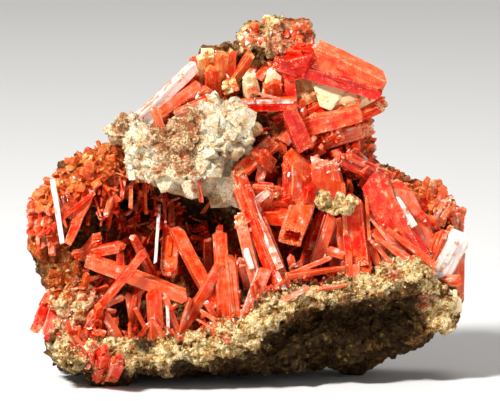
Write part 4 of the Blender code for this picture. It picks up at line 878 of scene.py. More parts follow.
def crystal_finish(nodes):
    """Glassy crocoite: streaked along its length, paler at edges and cracks, dusty at the root, with painted
    light and shade on its faces and painted highlights in pink and white.
    """
    lines = nodes.noise(1.0, 3.0, 0.65, nodes.strips(24.0, 1.2))
    bands = nodes.noise(1.0, 3.0, 0.6, nodes.strips(7.0, 2.4))
    cloud = nodes.noise(0.6)
    flecks = nodes.noise(2.8, 4.0, 0.8)
    # The face mark adds painted light and shade to each face.
    tone = nodes.plus(nodes.mark("tone"), nodes.mark("cast"))
    for source, amount in ((lines, 0.06), (bands, 0.12), (cloud, 0.16)):
        tone = nodes.stirred(tone, source, amount, 0.35, 0.65)
    colour = nodes.ramp(tone, *CRYSTAL_RAMPS[nodes.name])
    # Painted highlights: pink lengthwise strokes.
    highlight_streak = nodes.times(nodes.ranged(lines, 0.56, 0.66), nodes.ranged(cloud, 0.45, 0.6))
    colour = nodes.blended(nodes.times(highlight_streak, 0.5), colour, "pink")
    # Pale chipped edges, partly painted highlights along the edges.
    edge = nodes.times(nodes.mark("edge"), nodes.ranged(flecks, 0.38, 0.58))
    colour = nodes.blended(nodes.ranged(edge, 0.35, 1.0, 0.0, 0.55), colour, "pale_edge")
    crazed = nodes.strips(3.0, 7.0)
    wander = nodes.add("TexNoise", {"Vector": crazed, "Scale": 1.3, "Detail": 3.0}).outputs["Color"]
    crazed = nodes.add("VectorMath", {0: crazed, 1: wander}, operation="ADD").outputs[0]
    crack = nodes.add("TexVoronoi", {"Vector": crazed, "Scale": 1.0}, feature="DISTANCE_TO_EDGE")
    crack = nodes.ranged(crack.outputs["Distance"], 0.0, 0.035, 1.0, 0.0)
    crack = nodes.times(crack, nodes.ranged(cloud, 0.48, 0.62))
    colour = nodes.blended(nodes.times(crack, 0.5), colour, "pale_edge")
    dusty = nodes.plus(nodes.mark("dust"), nodes.ranged(flecks, 0.3, 0.7, -0.5, 0.5), clamp=True)
    dust = nodes.blended(nodes.ranged(nodes.noise(3.3), 0.4, 0.6), "crust_yellow", "crust_cream")
    colour = nodes.blended(nodes.ranged(dusty, 0.35, 0.5, 0.0, 0.9), colour, dust)
    chips = nodes.plus(nodes.noise(1.1, 5.0, 0.75), nodes.ranged(nodes.mark("edge"), 0.0, 1.0, 0.0, 0.05))
    colour = nodes.blended(nodes.ranged(chips, 0.66, 0.7, 0.0, 0.85), colour, dust)
    # Painted sheen: white patches, stronger on crystals of higher tone.
    sheen = nodes.times(nodes.ranged(bands, 0.58, 0.64), nodes.ranged(cloud, 0.52, 0.6))
    sheen = nodes.times(sheen, nodes.ranged(nodes.mark("tone"), 0.3, 0.55, 0.15, 0.75))
    colour = nodes.blended(sheen, colour, "glint")
    rusty = nodes.ranged(nodes.stirred(nodes.mark("rusty"), flecks, 0.25), 0.3, 0.7, 0.0, 0.85)
    rust = ((0.3, "rust_red"), (0.46, "rust"), (0.66, "amber_deep"), (0.95, "crust_yellow"))
    rust = nodes.ramp(nodes.stirred(tone, flecks, 0.22), *rust)
    rough = nodes.ranged(cloud, 0.35, 0.7, 0.08, 0.24)
    looks = {
        "Base Color": nodes.blended(rusty, colour, rust),
        "Roughness": nodes.plus(rough, nodes.ranged(dusty, 0.3, 0.7, 0.0, 0.4)),
        "IOR": 1.6,
        "Specular IOR Level": 0.2,
        "Transmission Weight": 0.15,
        "Subsurface Weight": 0.3,
        "Subsurface Radius": (1.0, 0.16, 0.06),
        "Subsurface Scale": 2.0 * MM,
        "Normal": nodes.bumps((bands, 0.3, 0.5), (lines, 0.1, 0.7), (flecks, 0.05, 0.6)),
    }
    nodes.fill(nodes.shader, looks)
    depth = nodes.add("VolumeAbsorption", {"Color": nodes.colour("depth"), "Density": 260.0})
    nodes.fill(nodes.tree.nodes["Material Output"], {"Volume": depth.outputs[0]})


def pale_finish(nodes):
    """Cream to tan satin crystals, smooth on their faces and crumbly at their edges, with painted light and
    shade per face and painted shade in their pits.
    """
    cloud = nodes.noise(0.5, 4.0, 0.65)
    fine = nodes.noise(2.6, 4.0, 0.75)
    own = nodes.ranged(nodes.mark("tone"), 0.0, 1.0, -0.14, 0.26)
    tone = nodes.plus(nodes.stirred(cloud, fine, 0.12), own)
    tone = nodes.plus(tone, nodes.times(nodes.mark("cast"), 0.4))
    colour = nodes.ramp(tone, (0.38, "tan"), (0.52, "pale_sand"), (0.66, "block_cream"))
    colour = nodes.blended(nodes.ranged(nodes.noise(1.6, 4.0, 0.8), 0.6, 0.66, 0.0, 0.8), colour, "speck_red")
    # Painted shade in the pits.
    pits = nodes.ranged(nodes.mark("pit"), 0.3, 0.9, 0.0, 0.7)
    looks = {
        "Base Color": nodes.blended(pits, colour, "block_shade"),
        "Roughness": 0.42,
        "Subsurface Weight": 0.2,
        "Subsurface Radius": (1.0, 0.6, 0.35),
        "Subsurface Scale": 1.2 * MM,
        "Normal": nodes.bumps((cloud, 0.5, 0.5), (fine, 0.2, 0.6)),
    }
    nodes.fill(nodes.shader, looks)


def floor_finish(nodes):
    """Matt pale paper."""
    paper = nodes.colour("paper")
    darker = [0.97 * value for value in paper]
    colour = nodes.blended(nodes.noise(0.01), paper, darker)
    nodes.fill(nodes.shader, {"Base Color": colour, "Roughness": 0.85})


FINISHES = {
    "gossan_crust": gossan_finish,
    "cream_block_crust": block_finish,
    "crust_grains": grain_finish,
    "crocoite": crystal_finish,
    "amber_crocoite": crystal_finish,
    "pale_crystal": pale_finish,
    "studio_paper": floor_finish,
}


def material_of(name):
    """The finish by its name, made when it is first asked for."""
    made = bpy.data.materials.get(name + "_looks")
    if made is None:
        nodes = Nodes(name, bpy.context.scene.specimen_colours)
        FINISHES[name](nodes)
        made = nodes.material
    return made


# Shapes.


def triples(items, key):
    """A property of many elements, three numbers for each, in rows."""
    values = np.empty(len(items) * 3)
    items.foreach_get(key, values)
    return values.reshape(-1, 3)


def mesh_from(bm, name):
    mesh = bpy.data.meshes.new(name)
    bm.to_mesh(mesh)
    bm.free()
    return mesh


def put_in_scene(name, data):
    made = bpy.data.objects.new(name, data)
    bpy.context.scene.collection.objects.link(made)
    return made


def put_mark(mesh, kind, values):
    mesh.attributes.new(kind, "FLOAT", "POINT").data.foreach_set("value", values)


def finish(mesh, name, material, nodes=()):
    """Puts a finished mesh, in millimetres, in the scene as a piece that rides on the specimen."""
    low, high = CAD_BOX
    kept = np.clip(triples(mesh.vertices, "co") * MM, np.array(low) + [1e-6, 1e-6, 0], np.array(high) - 1e-6)
    mesh.vertices.foreach_set("co", kept.ravel())
    mesh.update()
    mesh.materials.clear()
    mesh.materials.append(material_of(material))
    piece = put_in_scene(name, mesh)
    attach(piece, "root")
    if nodes:
        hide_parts(*nodes)


def node_mesh(node):
    """A copy of a CAD node's mesh, in millimetres."""
    bm = bmesh.new()
    bm.from_mesh(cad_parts[node].data)
    bmesh.ops.remove_doubles(bm, verts=bm.verts, dist=0.001 * MM)
    bmesh.ops.scale(bm, verts=bm.verts, vec=(1 / MM, 1 / MM, 1 / MM))
    return mesh_from(bm, node + "_rough")


def remeshed(mesh, voxel, depths=None):
    """A closed, evenly meshed copy of a shape, or of its part between two depths, in millimetres."""
    rough = put_in_scene("rough", mesh)
    used = [rough]
    if depths:
        near, far = depths
        bm = bmesh.new()
        bmesh.ops.create_cube(bm, size=1.0)
        bmesh.ops.scale(bm, verts=bm.verts, vec=(200, far - near, 200))
        bmesh.ops.translate(bm, verts=bm.verts, vec=(0, (far + near) / 2, 0))
        knife = put_in_scene("slab", mesh_from(bm, "slab"))
        used.append(knife)
        keep = rough.modifiers.new("Keep a part", "BOOLEAN")
        keep.operation = "INTERSECT"
        keep.solver = "EXACT"
        keep.object = knife
    even = rough.modifiers.new("Even mesh", "REMESH")
    even.mode = "VOXEL"
    even.voxel_size = voxel
    view = bpy.context.evaluated_depsgraph_get()
    made = bpy.data.meshes.new_from_object(rough.evaluated_get(view))
    for helper in used:
        data = helper.data
        bpy.data.objects.remove(helper)
        bpy.data.meshes.remove(data)
    return made


def layer_place(place, layer):
    size, shift = CRUST_LAYERS[layer]
    return place / size + shift


def crumbly(place):
    """How far the crust stands out at a place, and how deep in a pit or crack it is."""
    lumps = noise.noise(layer_place(place, "lumps"))
    swell = abs(noise.noise(layer_place(place, "swell")))
    chip = layer_place(place, "chips")
    centre = noise.voronoi(chip)[1][0]
    tilt = Vector([noise.cell(centre * TILT_SPREAD + shift) for shift in TILT_SHIFTS])
    slant = tilt.dot(chip - centre)
    crumb = noise.voronoi(layer_place(place, "crumbs"))[0][0]
    pit = smooth_step((0.33 - noise.voronoi(layer_place(place, "pits"))[0][0]) / 0.3)
    facets = noise.voronoi(layer_place(place, "facets"))[0]
    crack = smooth_step((facets[1] - facets[0]) / 0.3)
    crease = smooth_step((0.06 - swell) / 0.06)
    height = 0.7 * lumps + 2.4 * min(swell, 0.45) + 0.9 * slant + 0.3 * (0.36 - crumb)
    return height - 0.4 * (1 - crack) - pit - 0.5, max(pit, 0.7 * (1 - crack), 0.8 * crease)


def stains_at(places, kind):
    """How strongly a kind of stain lies at each of the places."""
    strongest = np.zeros(len(places))
    for across, down, depth, radius, amount in STAINS[kind]:
        away = places - np.array(spot((across, down, depth)))
        reach = (away[:, 0] ** 2 + away[:, 2] ** 2) / radius**2 + (away[:, 1] / (radius + 5)) ** 2
        strongest = np.maximum(strongest, amount * np.exp(-0.7 * reach * reach))
    return strongest


def crusted(mesh, amount, downward_shade):
    """Raises the crust of a rock, and writes its stains, and the painted shade of its downward faces, as
    marks on the mesh.
    """
    low, high = [[value / MM for value in corner] for corner in CAD_BOX]
    places = triples(mesh.vertices, "co")
    normals = triples(mesh.vertex_normals, "vector")
    relief = np.array([crumbly(Vector(place)) for place in places])
    rise = amount * relief[:, 0] * np.clip((places[:, 2] - 0.2) / 1.2, 0, 1)
    moved = np.clip(places + normals * rise[:, None], np.array(low) + BOX_MARGIN, np.array(high) - BOX_MARGIN)
    resting = places[:, 2] < RESTING
    moved[resting, 2] = places[resting, 2]
    # Painted shade: faces that look down are darkened, through the dark mark.
    under = np.clip((-normals[:, 2] - 0.1) / 0.6, 0, 1) * downward_shade
    # The stains are the front's: they fade where the rock turns to the back, which has its own patches.
    seen = np.clip((0.55 - normals[:, 1]) / 0.6, 0, 1)
    patches = np.array([noise.noise(layer_place(Vector(place), "patches")) for place in places])
    patches = (1 - seen) * np.clip(1.7 * patches, 0, 0.38)
    stains = {kind: stains_at(places, kind) for kind in ("cream", "rust", "blush", "dark")}
    # The pit mark: how deep in a pit, crack or crease a place lies; the finishes paint shade there.
    put_mark(mesh, "pit", relief[:, 1])
    put_mark(mesh, "cream", stains["cream"] * seen)
    put_mark(mesh, "rust", np.maximum(stains["rust"] * seen, patches))
    put_mark(mesh, "blush", stains["blush"] * seen)
    # The dark mark: painted shade on downward faces, with the dark stains, which are mostly painted shade.
    put_mark(mesh, "dark", np.maximum(under * (1 - 0.6 * stains["cream"]), stains["dark"] * seen))
    mesh.vertices.foreach_set("co", moved.ravel())
    mesh.shade_flat()
    mesh.update()
    return mesh


def bare_faces(middles, normals):
    """Which faces of the rock are bare crust, where few crystals grow: the rim, under it, and the back."""
    in_front = middles[:, 1] < MIDDLE_DEPTH - 7
    rim = in_front & ((stains_at(middles, "cream") > 0.45) | (stains_at(middles, "dark") > 0.2))
    return rim | ((normals[:, 2] < -0.1) & (middles[:, 2] < 15)) | (normals[:, 1] > 0.35)


def finish_growth(into, name, material="crocoite", kinds=("rusty",)):
    """Finishes a piece of small crystals, with the stains that they share with the rock marked on them."""
    mesh = mesh_from(into, name)
    for kind in kinds:
        put_mark(mesh, kind, stains_at(triples(mesh.vertices, "co"), kind))
    finish(mesh, name, material)


def crystal_bmesh():
    """An empty bmesh with the marks that crystals carry."""
    bm = bmesh.new()
    for name in ("tone", "edge", "dust"):
        bm.verts.layers.float.new(name)
    bm.faces.layers.float.new("cast")
    bm.loops.layers.uv.new("faces")
    return bm


def outline_of(rng, width, thickness, ledges):
    """Points round a prism, each with its edge mark: faces in lengthwise ledges, and narrow cut corners."""
    corners = [(-1, -1), (1, -1), (1, 1), (-1, 1)]
    points = []
    for index, (x, y) in enumerate(corners):
        next_x, next_y = corners[(index + 1) % 4]
        start = Vector((x * width / 2, y * thickness / 2))
        end = Vector((next_x * width / 2, next_y * thickness / 2))
        run = (end - start).length
        step = (end - start) / run
        inward = Vector((-step.y, step.x))
        cut = min(width, thickness) * rng.uniform(0.04, 0.11)
        rim = cut + 0.07 * run
        points.append((start + step * cut, 1.0))
        if ledges:
            points.append((start + step * rim, 0.0))
        sunk = 0.0
        for ledge in range(ledges):
            place = run * (ledge + rng.uniform(0.25, 0.75)) / ledges
            if not 1.3 * rim < place < run - 1.3 * rim:
                continue
            points.append((start + step * place + inward * sunk, 0.0))
            sunk = rng.uniform(0.015, 0.045) * width if sunk == 0.0 else 0.0
            points.append((start + step * (place + rng.uniform(0.03, 0.09) * run) + inward * sunk, 0.1))
        if ledges:
            points.append((end - step * rim + inward * sunk, 0.0))
        points.append((end - step * cut + inward * sunk, 1.0))
    return points


def drawn_out(bm, face, keep_old=False):
    """Extrudes a face and deletes the one that is left inside; returns the new one."""
    made = bmesh.ops.extrude_face_region(bm, geom=[face])
    if not keep_old:
        bmesh.ops.delete(bm, geom=[face], context="FACES_ONLY")
    return next(f for f in made["geom"] if isinstance(f, bmesh.types.BMFace))


def put_in_order(bm):
    """Sorts a shape's elements by place, because extruding and cutting leave another order each run."""
    bm.verts.sort(key=lambda vert: vert.co.dot(SORTING_WAY))
    bm.edges.sort(key=lambda edge: (edge.verts[0].co + edge.verts[1].co).dot(SORTING_WAY))
    bm.faces.sort(key=lambda face: face.calc_center_median().dot(SORTING_WAY))


def cut_tip(bm, height, slope, heading, aside=0.0):
    """Cuts the tip with a slanting plane and closes it; returns the new face."""
    facing = Vector((math.cos(heading), math.sin(heading), 0))
    put_in_order(bm)
    cut = bmesh.ops.bisect_plane(
        bm,
        geom=bm.verts[:] + bm.edges[:] + bm.faces[:],
        dist=1e-4,
        plane_co=facing * aside + Vector((0, 0, height)),
        plane_no=facing * math.sin(slope) + Vector((0, 0, math.cos(slope))),
        clear_outer=True,
    )
    edges = [e for e in cut["geom_cut"] if isinstance(e, bmesh.types.BMEdge)]
    return bmesh.ops.edgenet_fill(bm, edges=edges)["faces"]


def shape_tip(bm, rng, width, length, end):
    """Ends a prism: a chisel of two slopes, a broken end of four, or a hollow hopper."""
    tone = bm.verts.layers.float["tone"]
    heading = rng.uniform(0, 2 * math.pi)
    if end in ("chisel", "taper", "face"):
        slope = math.radians(rng.uniform(26, 50))
        reach = 0.35 * width * math.tan(slope)
        cut_tip(bm, length - reach, slope, heading)
        other = math.radians(rng.uniform(28, 55))
        cut_tip(bm, length - 0.7 * reach, other, heading + math.pi + rng.uniform(-0.6, 0.6), 0.12 * width)
        return
    if end == "broken":
        cut_tip(bm, length - 0.12 * width, math.radians(rng.uniform(4, 20)), heading)
        for turn in (rng.uniform(1.2, 2.4), rng.uniform(2.6, 3.6), rng.uniform(4.0, 5.4)):
            slope = math.radians(rng.uniform(18, 50))
            cut_tip(bm, length - 0.1 * width, slope, heading + turn, rng.uniform(0.05, 0.2) * width)
        return
    face = cut_tip(bm, length - 0.08 * width, math.radians(rng.uniform(2, 8)), heading)[0]
    for sink, narrower in ((0.0, 0.74), (0.4, 0.9), (0.0, 0.8), (0.5, 0.85)):
        shift = Vector((rng.uniform(-0.05, 0.05), rng.uniform(-0.05, 0.05), 0)) * width
        face = drawn_out(bm, face)
        middle = face.calc_center_median()
        for vert in sorted(face.verts, key=lambda vert: vert.co.dot(SORTING_WAY)):
            vert.co = middle + (vert.co - middle) * rng.uniform(narrower - 0.16, narrower + 0.06) + shift
            vert.co.z -= sink * width
            vert[tone] *= 0.72


def prism(rng, width, thickness, length, tone_value, end, ledges, rings, dust=0.0):
    """A crystal standing on the origin along Z, in millimetres."""
    narrower = 0.5 if end == "taper" else rng.uniform(0.0, 0.18)
    bm = crystal_bmesh()
    tone = bm.verts.layers.float["tone"]
    edge = bm.verts.layers.float["edge"]
    ring = []
    for point, edge_mark in outline_of(rng, width, thickness, ledges):
        vert = bm.verts.new((point.x, point.y, 0))
        vert[tone] = tone_value
        vert[edge] = edge_mark if ledges else 0.0
        ring.append(vert)
    face = bm.faces.new(ring)
    for step in range(rings):
        face = drawn_out(bm, face, keep_old=step == 0)
        bmesh.ops.translate(bm, verts=face.verts, vec=(0, 0, length / rings))
    shift = rng.uniform(0, 50)
    for vert in bm.verts:
        swell = 1 + 0.05 * noise.noise(Vector((vert.co.z * 0.35, shift, 0))) - narrower * vert.co.z / length
        vert.co.x = vert.co.x * swell + 0.07 * width * noise.noise(Vector((shift, vert.co.z * 0.3, 0)))
        vert.co.y *= swell
        vert[tone] += 0.1 * noise.noise(Vector((shift, shift, vert.co.z * 0.3)))
    shape_tip(bm, rng, width, length, end)
    bmesh.ops.recalc_face_normals(bm, faces=bm.faces)
    put_in_order(bm)
    lay_faces(bm, rng, length, dust)
    return bm


def lay_faces(bm, rng, length, dust):
    """Gives each face its strip of the UV map and its own tone offset, painted light and shade drawn at
    random for the way it faces, and marks the dust at root and tip.
    """
    strips = bm.loops.layers.uv["faces"]
    cast = bm.faces.layers.float["cast"]
    dust_mark = bm.verts.layers.float["dust"]
    # Painted light and shade: faces that look different ways get lighter and darker tones.
    side_face_lights = [rng.choice((-0.16, -0.1, -0.05, 0.0, 0.0, 0.05, 0.1, 0.18)) for _side in range(8)]
    for vert in bm.verts:
        along = vert.co.z / length
        vert[dust_mark] = max(0.0, 0.36 - 3.5 * along, dust * smooth_step((along - 0.8) / 0.2))
    for face in bm.faces:
        heading = math.atan2(face.normal.y, face.normal.x)
        face[cast] = side_face_lights[round(heading / (math.pi / 4)) % 8]
        if abs(face.normal.z) > 0.3:
            face[cast] = rng.uniform(-0.15, 0.3)
        quarter = round(heading / (math.pi / 2))
        sideways = Vector((-math.sin(quarter * math.pi / 2), math.cos(quarter * math.pi / 2), 0))
        for loop in face.loops:
            along = loop.vert.co.z if abs(face.normal.z) < 0.9 else loop.vert.co.y
            loop[strips].uv = (loop.vert.co.dot(sideways) / 10 + quarter * 0.37, along / 10)


def plant(into, bm, start, direction, turn):
    """Turns a standing crystal to its direction, moves it to its root and adds it to the piece being made."""
    side, out = axes_along(direction, turn)
    turned = Matrix((side, out, direction)).transposed().to_4x4()
    bmesh.ops.transform(bm, matrix=Matrix.Translation(start) @ turned, verts=bm.verts)
    gather(into, bm)


def gather(into, bm):
    """Adds a shape to the piece that is being made."""
    mesh = mesh_from(bm, "shape")
    into.from_mesh(mesh)
    bpy.data.meshes.remove(mesh)


def splinter(into, rng, row, length, dust):
    """Ends a broken crystal in a few columns of different heights."""
    root, tip, width, thickness, turn, tone, _end = row
    start = spot(root)
    along = (spot(tip) - start).normalized()
    for _column in range(rng.choice((3, 4))):
        thin = rng.uniform(0.35, 0.65) * width
        deep = rng.uniform(0.35, 0.6) * thickness
        top = length - rng.uniform(0.0, 0.5) * width
        low = max(0.0, length - 2.2 * width)
        kind = rng.choice(("chisel", "broken"))
        column = prism(rng, thin, deep, top - low, tone + rng.uniform(-0.16, 0.14), kind, 1, 2, dust)
        aside = rng.uniform(-0.5, 0.5) * (width - thin)
        back = rng.uniform(-0.5, 0.5) * (thickness - deep)
        bmesh.ops.translate(column, verts=column.verts, vec=(aside, back, low))
        plant(into, column, start, along, turn)


def grow(into, row, seed, laths):
    """One crystal of the CAD, worn and striated, with thinner crystals grown along its faces."""
    root, tip, width, thickness, turn, tone, end = row
    rng = random.Random(seed)
    start, finish_at = spot(root), spot(tip)
    length = (finish_at - start).length
    along = (finish_at - start).normalized()
    ledges = 2 if width >= TWO_LEDGES and end != "face" else 1
    rings = max(2, min(9, round(length / 2.4)))
    splintered = end == "broken" and width >= SPLINTERS
    dust = 0.28 if end == "hollow" else 0.5 if end == "broken" and rng.random() < 0.4 else 0.0
    laths = {"face": 0, "taper": 1, "hollow": 1}.get(end, laths)
    body = length - 0.55 * width if splintered else length
    plant(into, prism(rng, width, thickness, body, tone, end, ledges, rings, dust), start, along, turn)
    if splintered:
        splinter(into, rng, row, length, dust)
    if width < BEARS_LATHS:
        return
    for _lath in range(laths):
        quarter = rng.choice((0, 1, 2, 3))
        across = (thickness, width)[quarter % 2]
        reach = (width, thickness)[quarter % 2] / 2
        thin = rng.uniform(0.14, 0.34) * across
        deep = rng.uniform(0.25, 0.4) * thin + 0.15
        low = rng.uniform(0.0, 0.25) * length
        high = rng.uniform(0.5, 0.97) * length
        place = rng.uniform(-0.38, 0.38) * across
        angle = quarter * math.pi / 2
        facing = Vector((math.cos(angle), math.sin(angle), 0))
        aside = Vector((-math.sin(angle), math.cos(angle), 0))
        kind = rng.choice(("chisel", "broken"))
        lath = prism(rng, deep, thin, high - low, tone + rng.uniform(-0.16, 0.16), kind, 0, 2)
        lean = min(0.05, 0.9 * deep / (high - low))
        bmesh.ops.rotate(lath, verts=lath.verts, matrix=Matrix.Rotation(angle, 3, "Z"))
        bmesh.ops.rotate(lath, verts=lath.verts, matrix=Matrix.Rotation(lean, 3, aside))
        sink = reach - deep * rng.uniform(0.4, 0.6)
        bmesh.ops.translate(lath, verts=lath.verts, vec=facing * sink + aside * place + Vector((0, 0, low)))
        plant(into, lath, start, along, turn)


def faces_of(*names):
    """Middles and normals of the faces of finished pieces, in millimetres."""
    meshes = [bpy.data.objects[name].data for name in names]
    middles = np.vstack([triples(mesh.polygons, "center") / MM for mesh in meshes])
    return middles, np.vstack([triples(mesh.polygons, "normal") for mesh in meshes])


def faces_near(middles, place, radius):
    """The faces near a place; depth counts for less than the front's two ways."""
    away = middles - np.array(spot(place))
    away[:, 1] *= 0.6
    return np.flatnonzero((away**2).sum(axis=1) < radius**2)


def scattered(rows, rng, middles, share=1.0):
    """Picks a face for each crystal of a growth; yields the face, and what its row says of it."""
    for place, radius, count, *ranges in rows:
        near = faces_near(middles, place, radius)
        if not len(near):
            raise RuntimeError(f"nothing to grow on near {place}")
        for _crystal in range(round(count * share)):
            yield near[rng.randrange(len(near))], radius, ranges


def random_way(rng):
    while True:
        way = Vector([rng.uniform(-1, 1) for _axis in range(3)])
        if 0.1 < way.length < 1:
            return way.normalized()


class SpecimenSizes(bpy.types.PropertyGroup):
    """Sizes that a user may change before the pieces are made again."""

    rock_mesh: FloatProperty(
        name="Rock mesh", description="Size of the rock's front faces, in mm", default=0.4, min=0.3, max=2.0
    )
    block_mesh: FloatProperty(
        name="Block mesh", description="Size of the cream block's faces, in mm", default=0.3, min=0.2, max=2.0
    )
    roughness: FloatProperty(
        name="Crust relief", description="How far the crust stands out", default=1.0, min=0.0, max=2.0
    )
    laths: IntProperty(name="Laths", description="Thin crystals on each large one", default=3, min=0, max=8)
    needles: FloatProperty(
        name="Needles", description="Share of the fine needles that are made", default=1.0, min=0.0, max=1.5
    )
    grains: FloatProperty(
        name="Grains", description="Share of the loose grains that are made", default=0.55, min=0.0, max=1.5
    )
    lens: FloatProperty(name="Lens", description="Focal length of the camera", default=432.0, unit="CAMERA")
    key_light: FloatProperty(name="Key light", description="Power of the key", default=17.0, unit="POWER")
    fill_light: FloatProperty(name="Fill light", description="Power of the fill", default=1.6, unit="POWER")
    top_light: FloatProperty(name="Top light", description="Power of the top", default=2.5, unit="POWER")


def colour_property(label, description, colour):
    return FloatVectorProperty(
        name=label, description=description, default=colour, size=3, min=0.0, max=1.0, subtype="COLOR"
    )


class SpecimenColours(bpy.types.PropertyGroup):
    """Colours of the finishes."""

    ruby: colour_property("Ruby", "Deepest crystals", (0.52, 0.006, 0.002))
    vivid_red: colour_property("Vivid red", "Clear red crystals", (0.88, 0.010, 0.001))
    orange_red: colour_property("Orange red", "Orange-red crystals", (0.89, 0.092, 0.012))
    salmon: colour_property("Salmon", "Lit crystals", (0.90, 0.145, 0.045))
    pink: colour_property("Pink", "Silvery pink faces", (0.92, 0.31, 0.20))
    glint: colour_property("Glint", "White faces", (0.98, 0.88, 0.82))
    # Pale, chipped edges, partly painted highlights along the edges.
    pale_edge: colour_property("Pale edge", "Chipped edges", (0.98, 0.46, 0.27))
    amber_deep: colour_property("Deep amber", "Rusty crystals on the crust", (0.72, 0.20, 0.035))
    amber: colour_property("Amber", "Amber crystals", (0.95, 0.34, 0.08))
    amber_pale: colour_property("Pale amber", "Pale ends of amber crystals", (0.92, 0.60, 0.20))
    depth: colour_property("Depth", "Colour that light takes inside a crystal", (0.98, 0.14, 0.02))
    gossan: colour_property("Gossan", "Brown of the rock", (0.30, 0.13, 0.04))
    gossan_dark: colour_property("Dark gossan", "Darker brown of the rock", (0.12, 0.055, 0.02))
    gossan_pale: colour_property("Pale gossan", "Ochre parts of the rock", (0.44, 0.22, 0.07))
    rust: colour_property("Rust", "Orange crust", (0.62, 0.13, 0.018))
    rust_red: colour_property("Red rust", "Red crust", (0.52, 0.045, 0.010))
    crust_yellow: colour_property("Yellow crust", "Yellow crust on the rim", (0.80, 0.50, 0.15))
    crust_cream: colour_property("Cream crust", "Cream crust on the rim", (1.0, 0.86, 0.50))
    blush: colour_property("Blush", "Pinkish tan crust", (0.78, 0.36, 0.19))
    speck_red: colour_property("Red specks", "Red specks in the crust", (0.66, 0.09, 0.035))
    # The underside colour is the rock under the rim darkened with painted shade.
    underside: colour_property("Underside", "Dark brown under the rim", (0.026, 0.014, 0.002))
    olive: colour_property("Olive", "Olive crumbs under the rim", (0.115, 0.072, 0.014))
    olive_pale: colour_property("Pale olive", "Palest crumbs under the rim", (0.34, 0.22, 0.055))
    pit: colour_property("Pit", "Bottom of a pit", (0.035, 0.014, 0.006))
    block_cream: colour_property("Block cream", "Cream of the block", (1.0, 0.78, 0.46))
    block_white: colour_property("Block white", "Palest crumbs of the block", (1.0, 0.98, 0.78))
    block_shade: colour_property("Block shade", "Bottom of the block's pits", (0.45, 0.20, 0.08))
    # Painted shade between crumbs and in pits.
    gap: colour_property("Gap", "Shade between crumbs", (0.55, 0.33, 0.16))
    block_tan: colour_property("Block tan", "Tan of the block", (0.72, 0.38, 0.15))
    block_pink: colour_property("Block pink", "Pink crumbs on the block", (0.78, 0.26, 0.12))
    # Painted shade on the block's downward side.
    block_under: colour_property("Block underside", "Sheltered side of the block", (0.42, 0.23, 0.075))
    tan: colour_property("Tan", "Tan crystals", (0.52, 0.20, 0.05))
    pale_sand: colour_property("Sand", "Sand-coloured crystals", (0.78, 0.50, 0.21))
    paper: colour_property("Paper", "Studio floor", (0.80, 0.79, 0.77))


class SPECIMEN_OT_gossan(bpy.types.Operator):
    """Rough brown rock with its cream and rusty crusts, and its dark parts, which are partly painted shade.
    """

    bl_idname = "specimen.gossan"
    bl_label = "Gossan"

    def execute(self, context):
        sizes = context.scene.specimen_sizes
        low, high = (corner.y / MM for corner in CAD_BOX)
        parts = (
            ("gossan_front", sizes.rock_mesh, (low - 1, ROCK_SEAM + SEAM_OVERLAP)),
            ("gossan_back", 1.5 * sizes.rock_mesh, (ROCK_SEAM - SEAM_OVERLAP, high + 1)),
        )
        for name, voxel, depths in parts:
            mesh = crusted(remeshed(node_mesh("matrix"), voxel, depths), sizes.roughness, DOWNWARD_SHADE["rock"])
            finish(mesh, name, "gossan_crust", ["matrix"])
        return {"FINISHED"}


class SPECIMEN_OT_cream_block(bpy.types.Operator):
    """Pale knobbly block above the hollow."""

    bl_idname = "specimen.cream_block"
    bl_label = "Cream block"

    def execute(self, context):
        sizes = context.scene.specimen_sizes
        even = remeshed(node_mesh("cream_block"), sizes.block_mesh)
        mesh = crusted(even, sizes.roughness, DOWNWARD_SHADE["block"])
        finish(mesh, "block_crust", "cream_block_crust", ["cream_block"])
        return {"FINISHED"}


class SPECIMEN_OT_shards(bpy.types.Operator):
    """Angular pieces standing out of the cream block."""

    bl_idname = "specimen.shards"
    bl_label = "Shards"

    def execute(self, context):
        middles, normals = faces_of("block_crust")
        into = crystal_bmesh()
        rng = random.Random(SHARD_SEED)
        for face, _radius, (lengths, widths) in scattered(SHARDS, rng, middles):
            start = Vector(middles[face])
            way = (Vector(normals[face]) + 0.9 * random_way(rng)).normalized()
            length = rng.uniform(*lengths)
            width = rng.uniform(*widths)
            shard = prism(rng, width, width * rng.uniform(0.4, 0.8), length, 0.5, "broken", 0, 1)
            plant(into, shard, start - way * 0.75 * length, way, rng.uniform(0, 90))
        finish_growth(into, "block_shards", "cream_block_crust", ("dark", "blush"))
        return {"FINISHED"}


class SPECIMEN_OT_lumps(bpy.types.Operator):
    """Lumps of crust on the knob, on the cream ledge, at the foot and along the rim."""

    bl_idname = "specimen.lumps"
    bl_label = "Lumps"

    def execute(self, context):
        for name, (slot, relief, nodes, lumps) in LUMPS.items():
            rng = random.Random(name)
            bm = bmesh.new()
            for *place, radius in lumps:
                made = bmesh.ops.create_icosphere(bm, subdivisions=2, radius=radius)["verts"]
                squash = [rng.uniform(0.8, 1.15) for _axis in range(3)]
                bmesh.ops.scale(bm, verts=made, vec=squash)
                bmesh.ops.rotate(bm, verts=made, matrix=Matrix.Rotation(rng.uniform(0, 3), 3, "Y"))
                bmesh.ops.translate(bm, verts=made, vec=spot(place))
            mesh = crusted(remeshed(mesh_from(bm, name), LUMP_MESH), relief, DOWNWARD_SHADE["lumps"])
            finish(mesh, name, "gossan_crust", nodes)
        return {"FINISHED"}


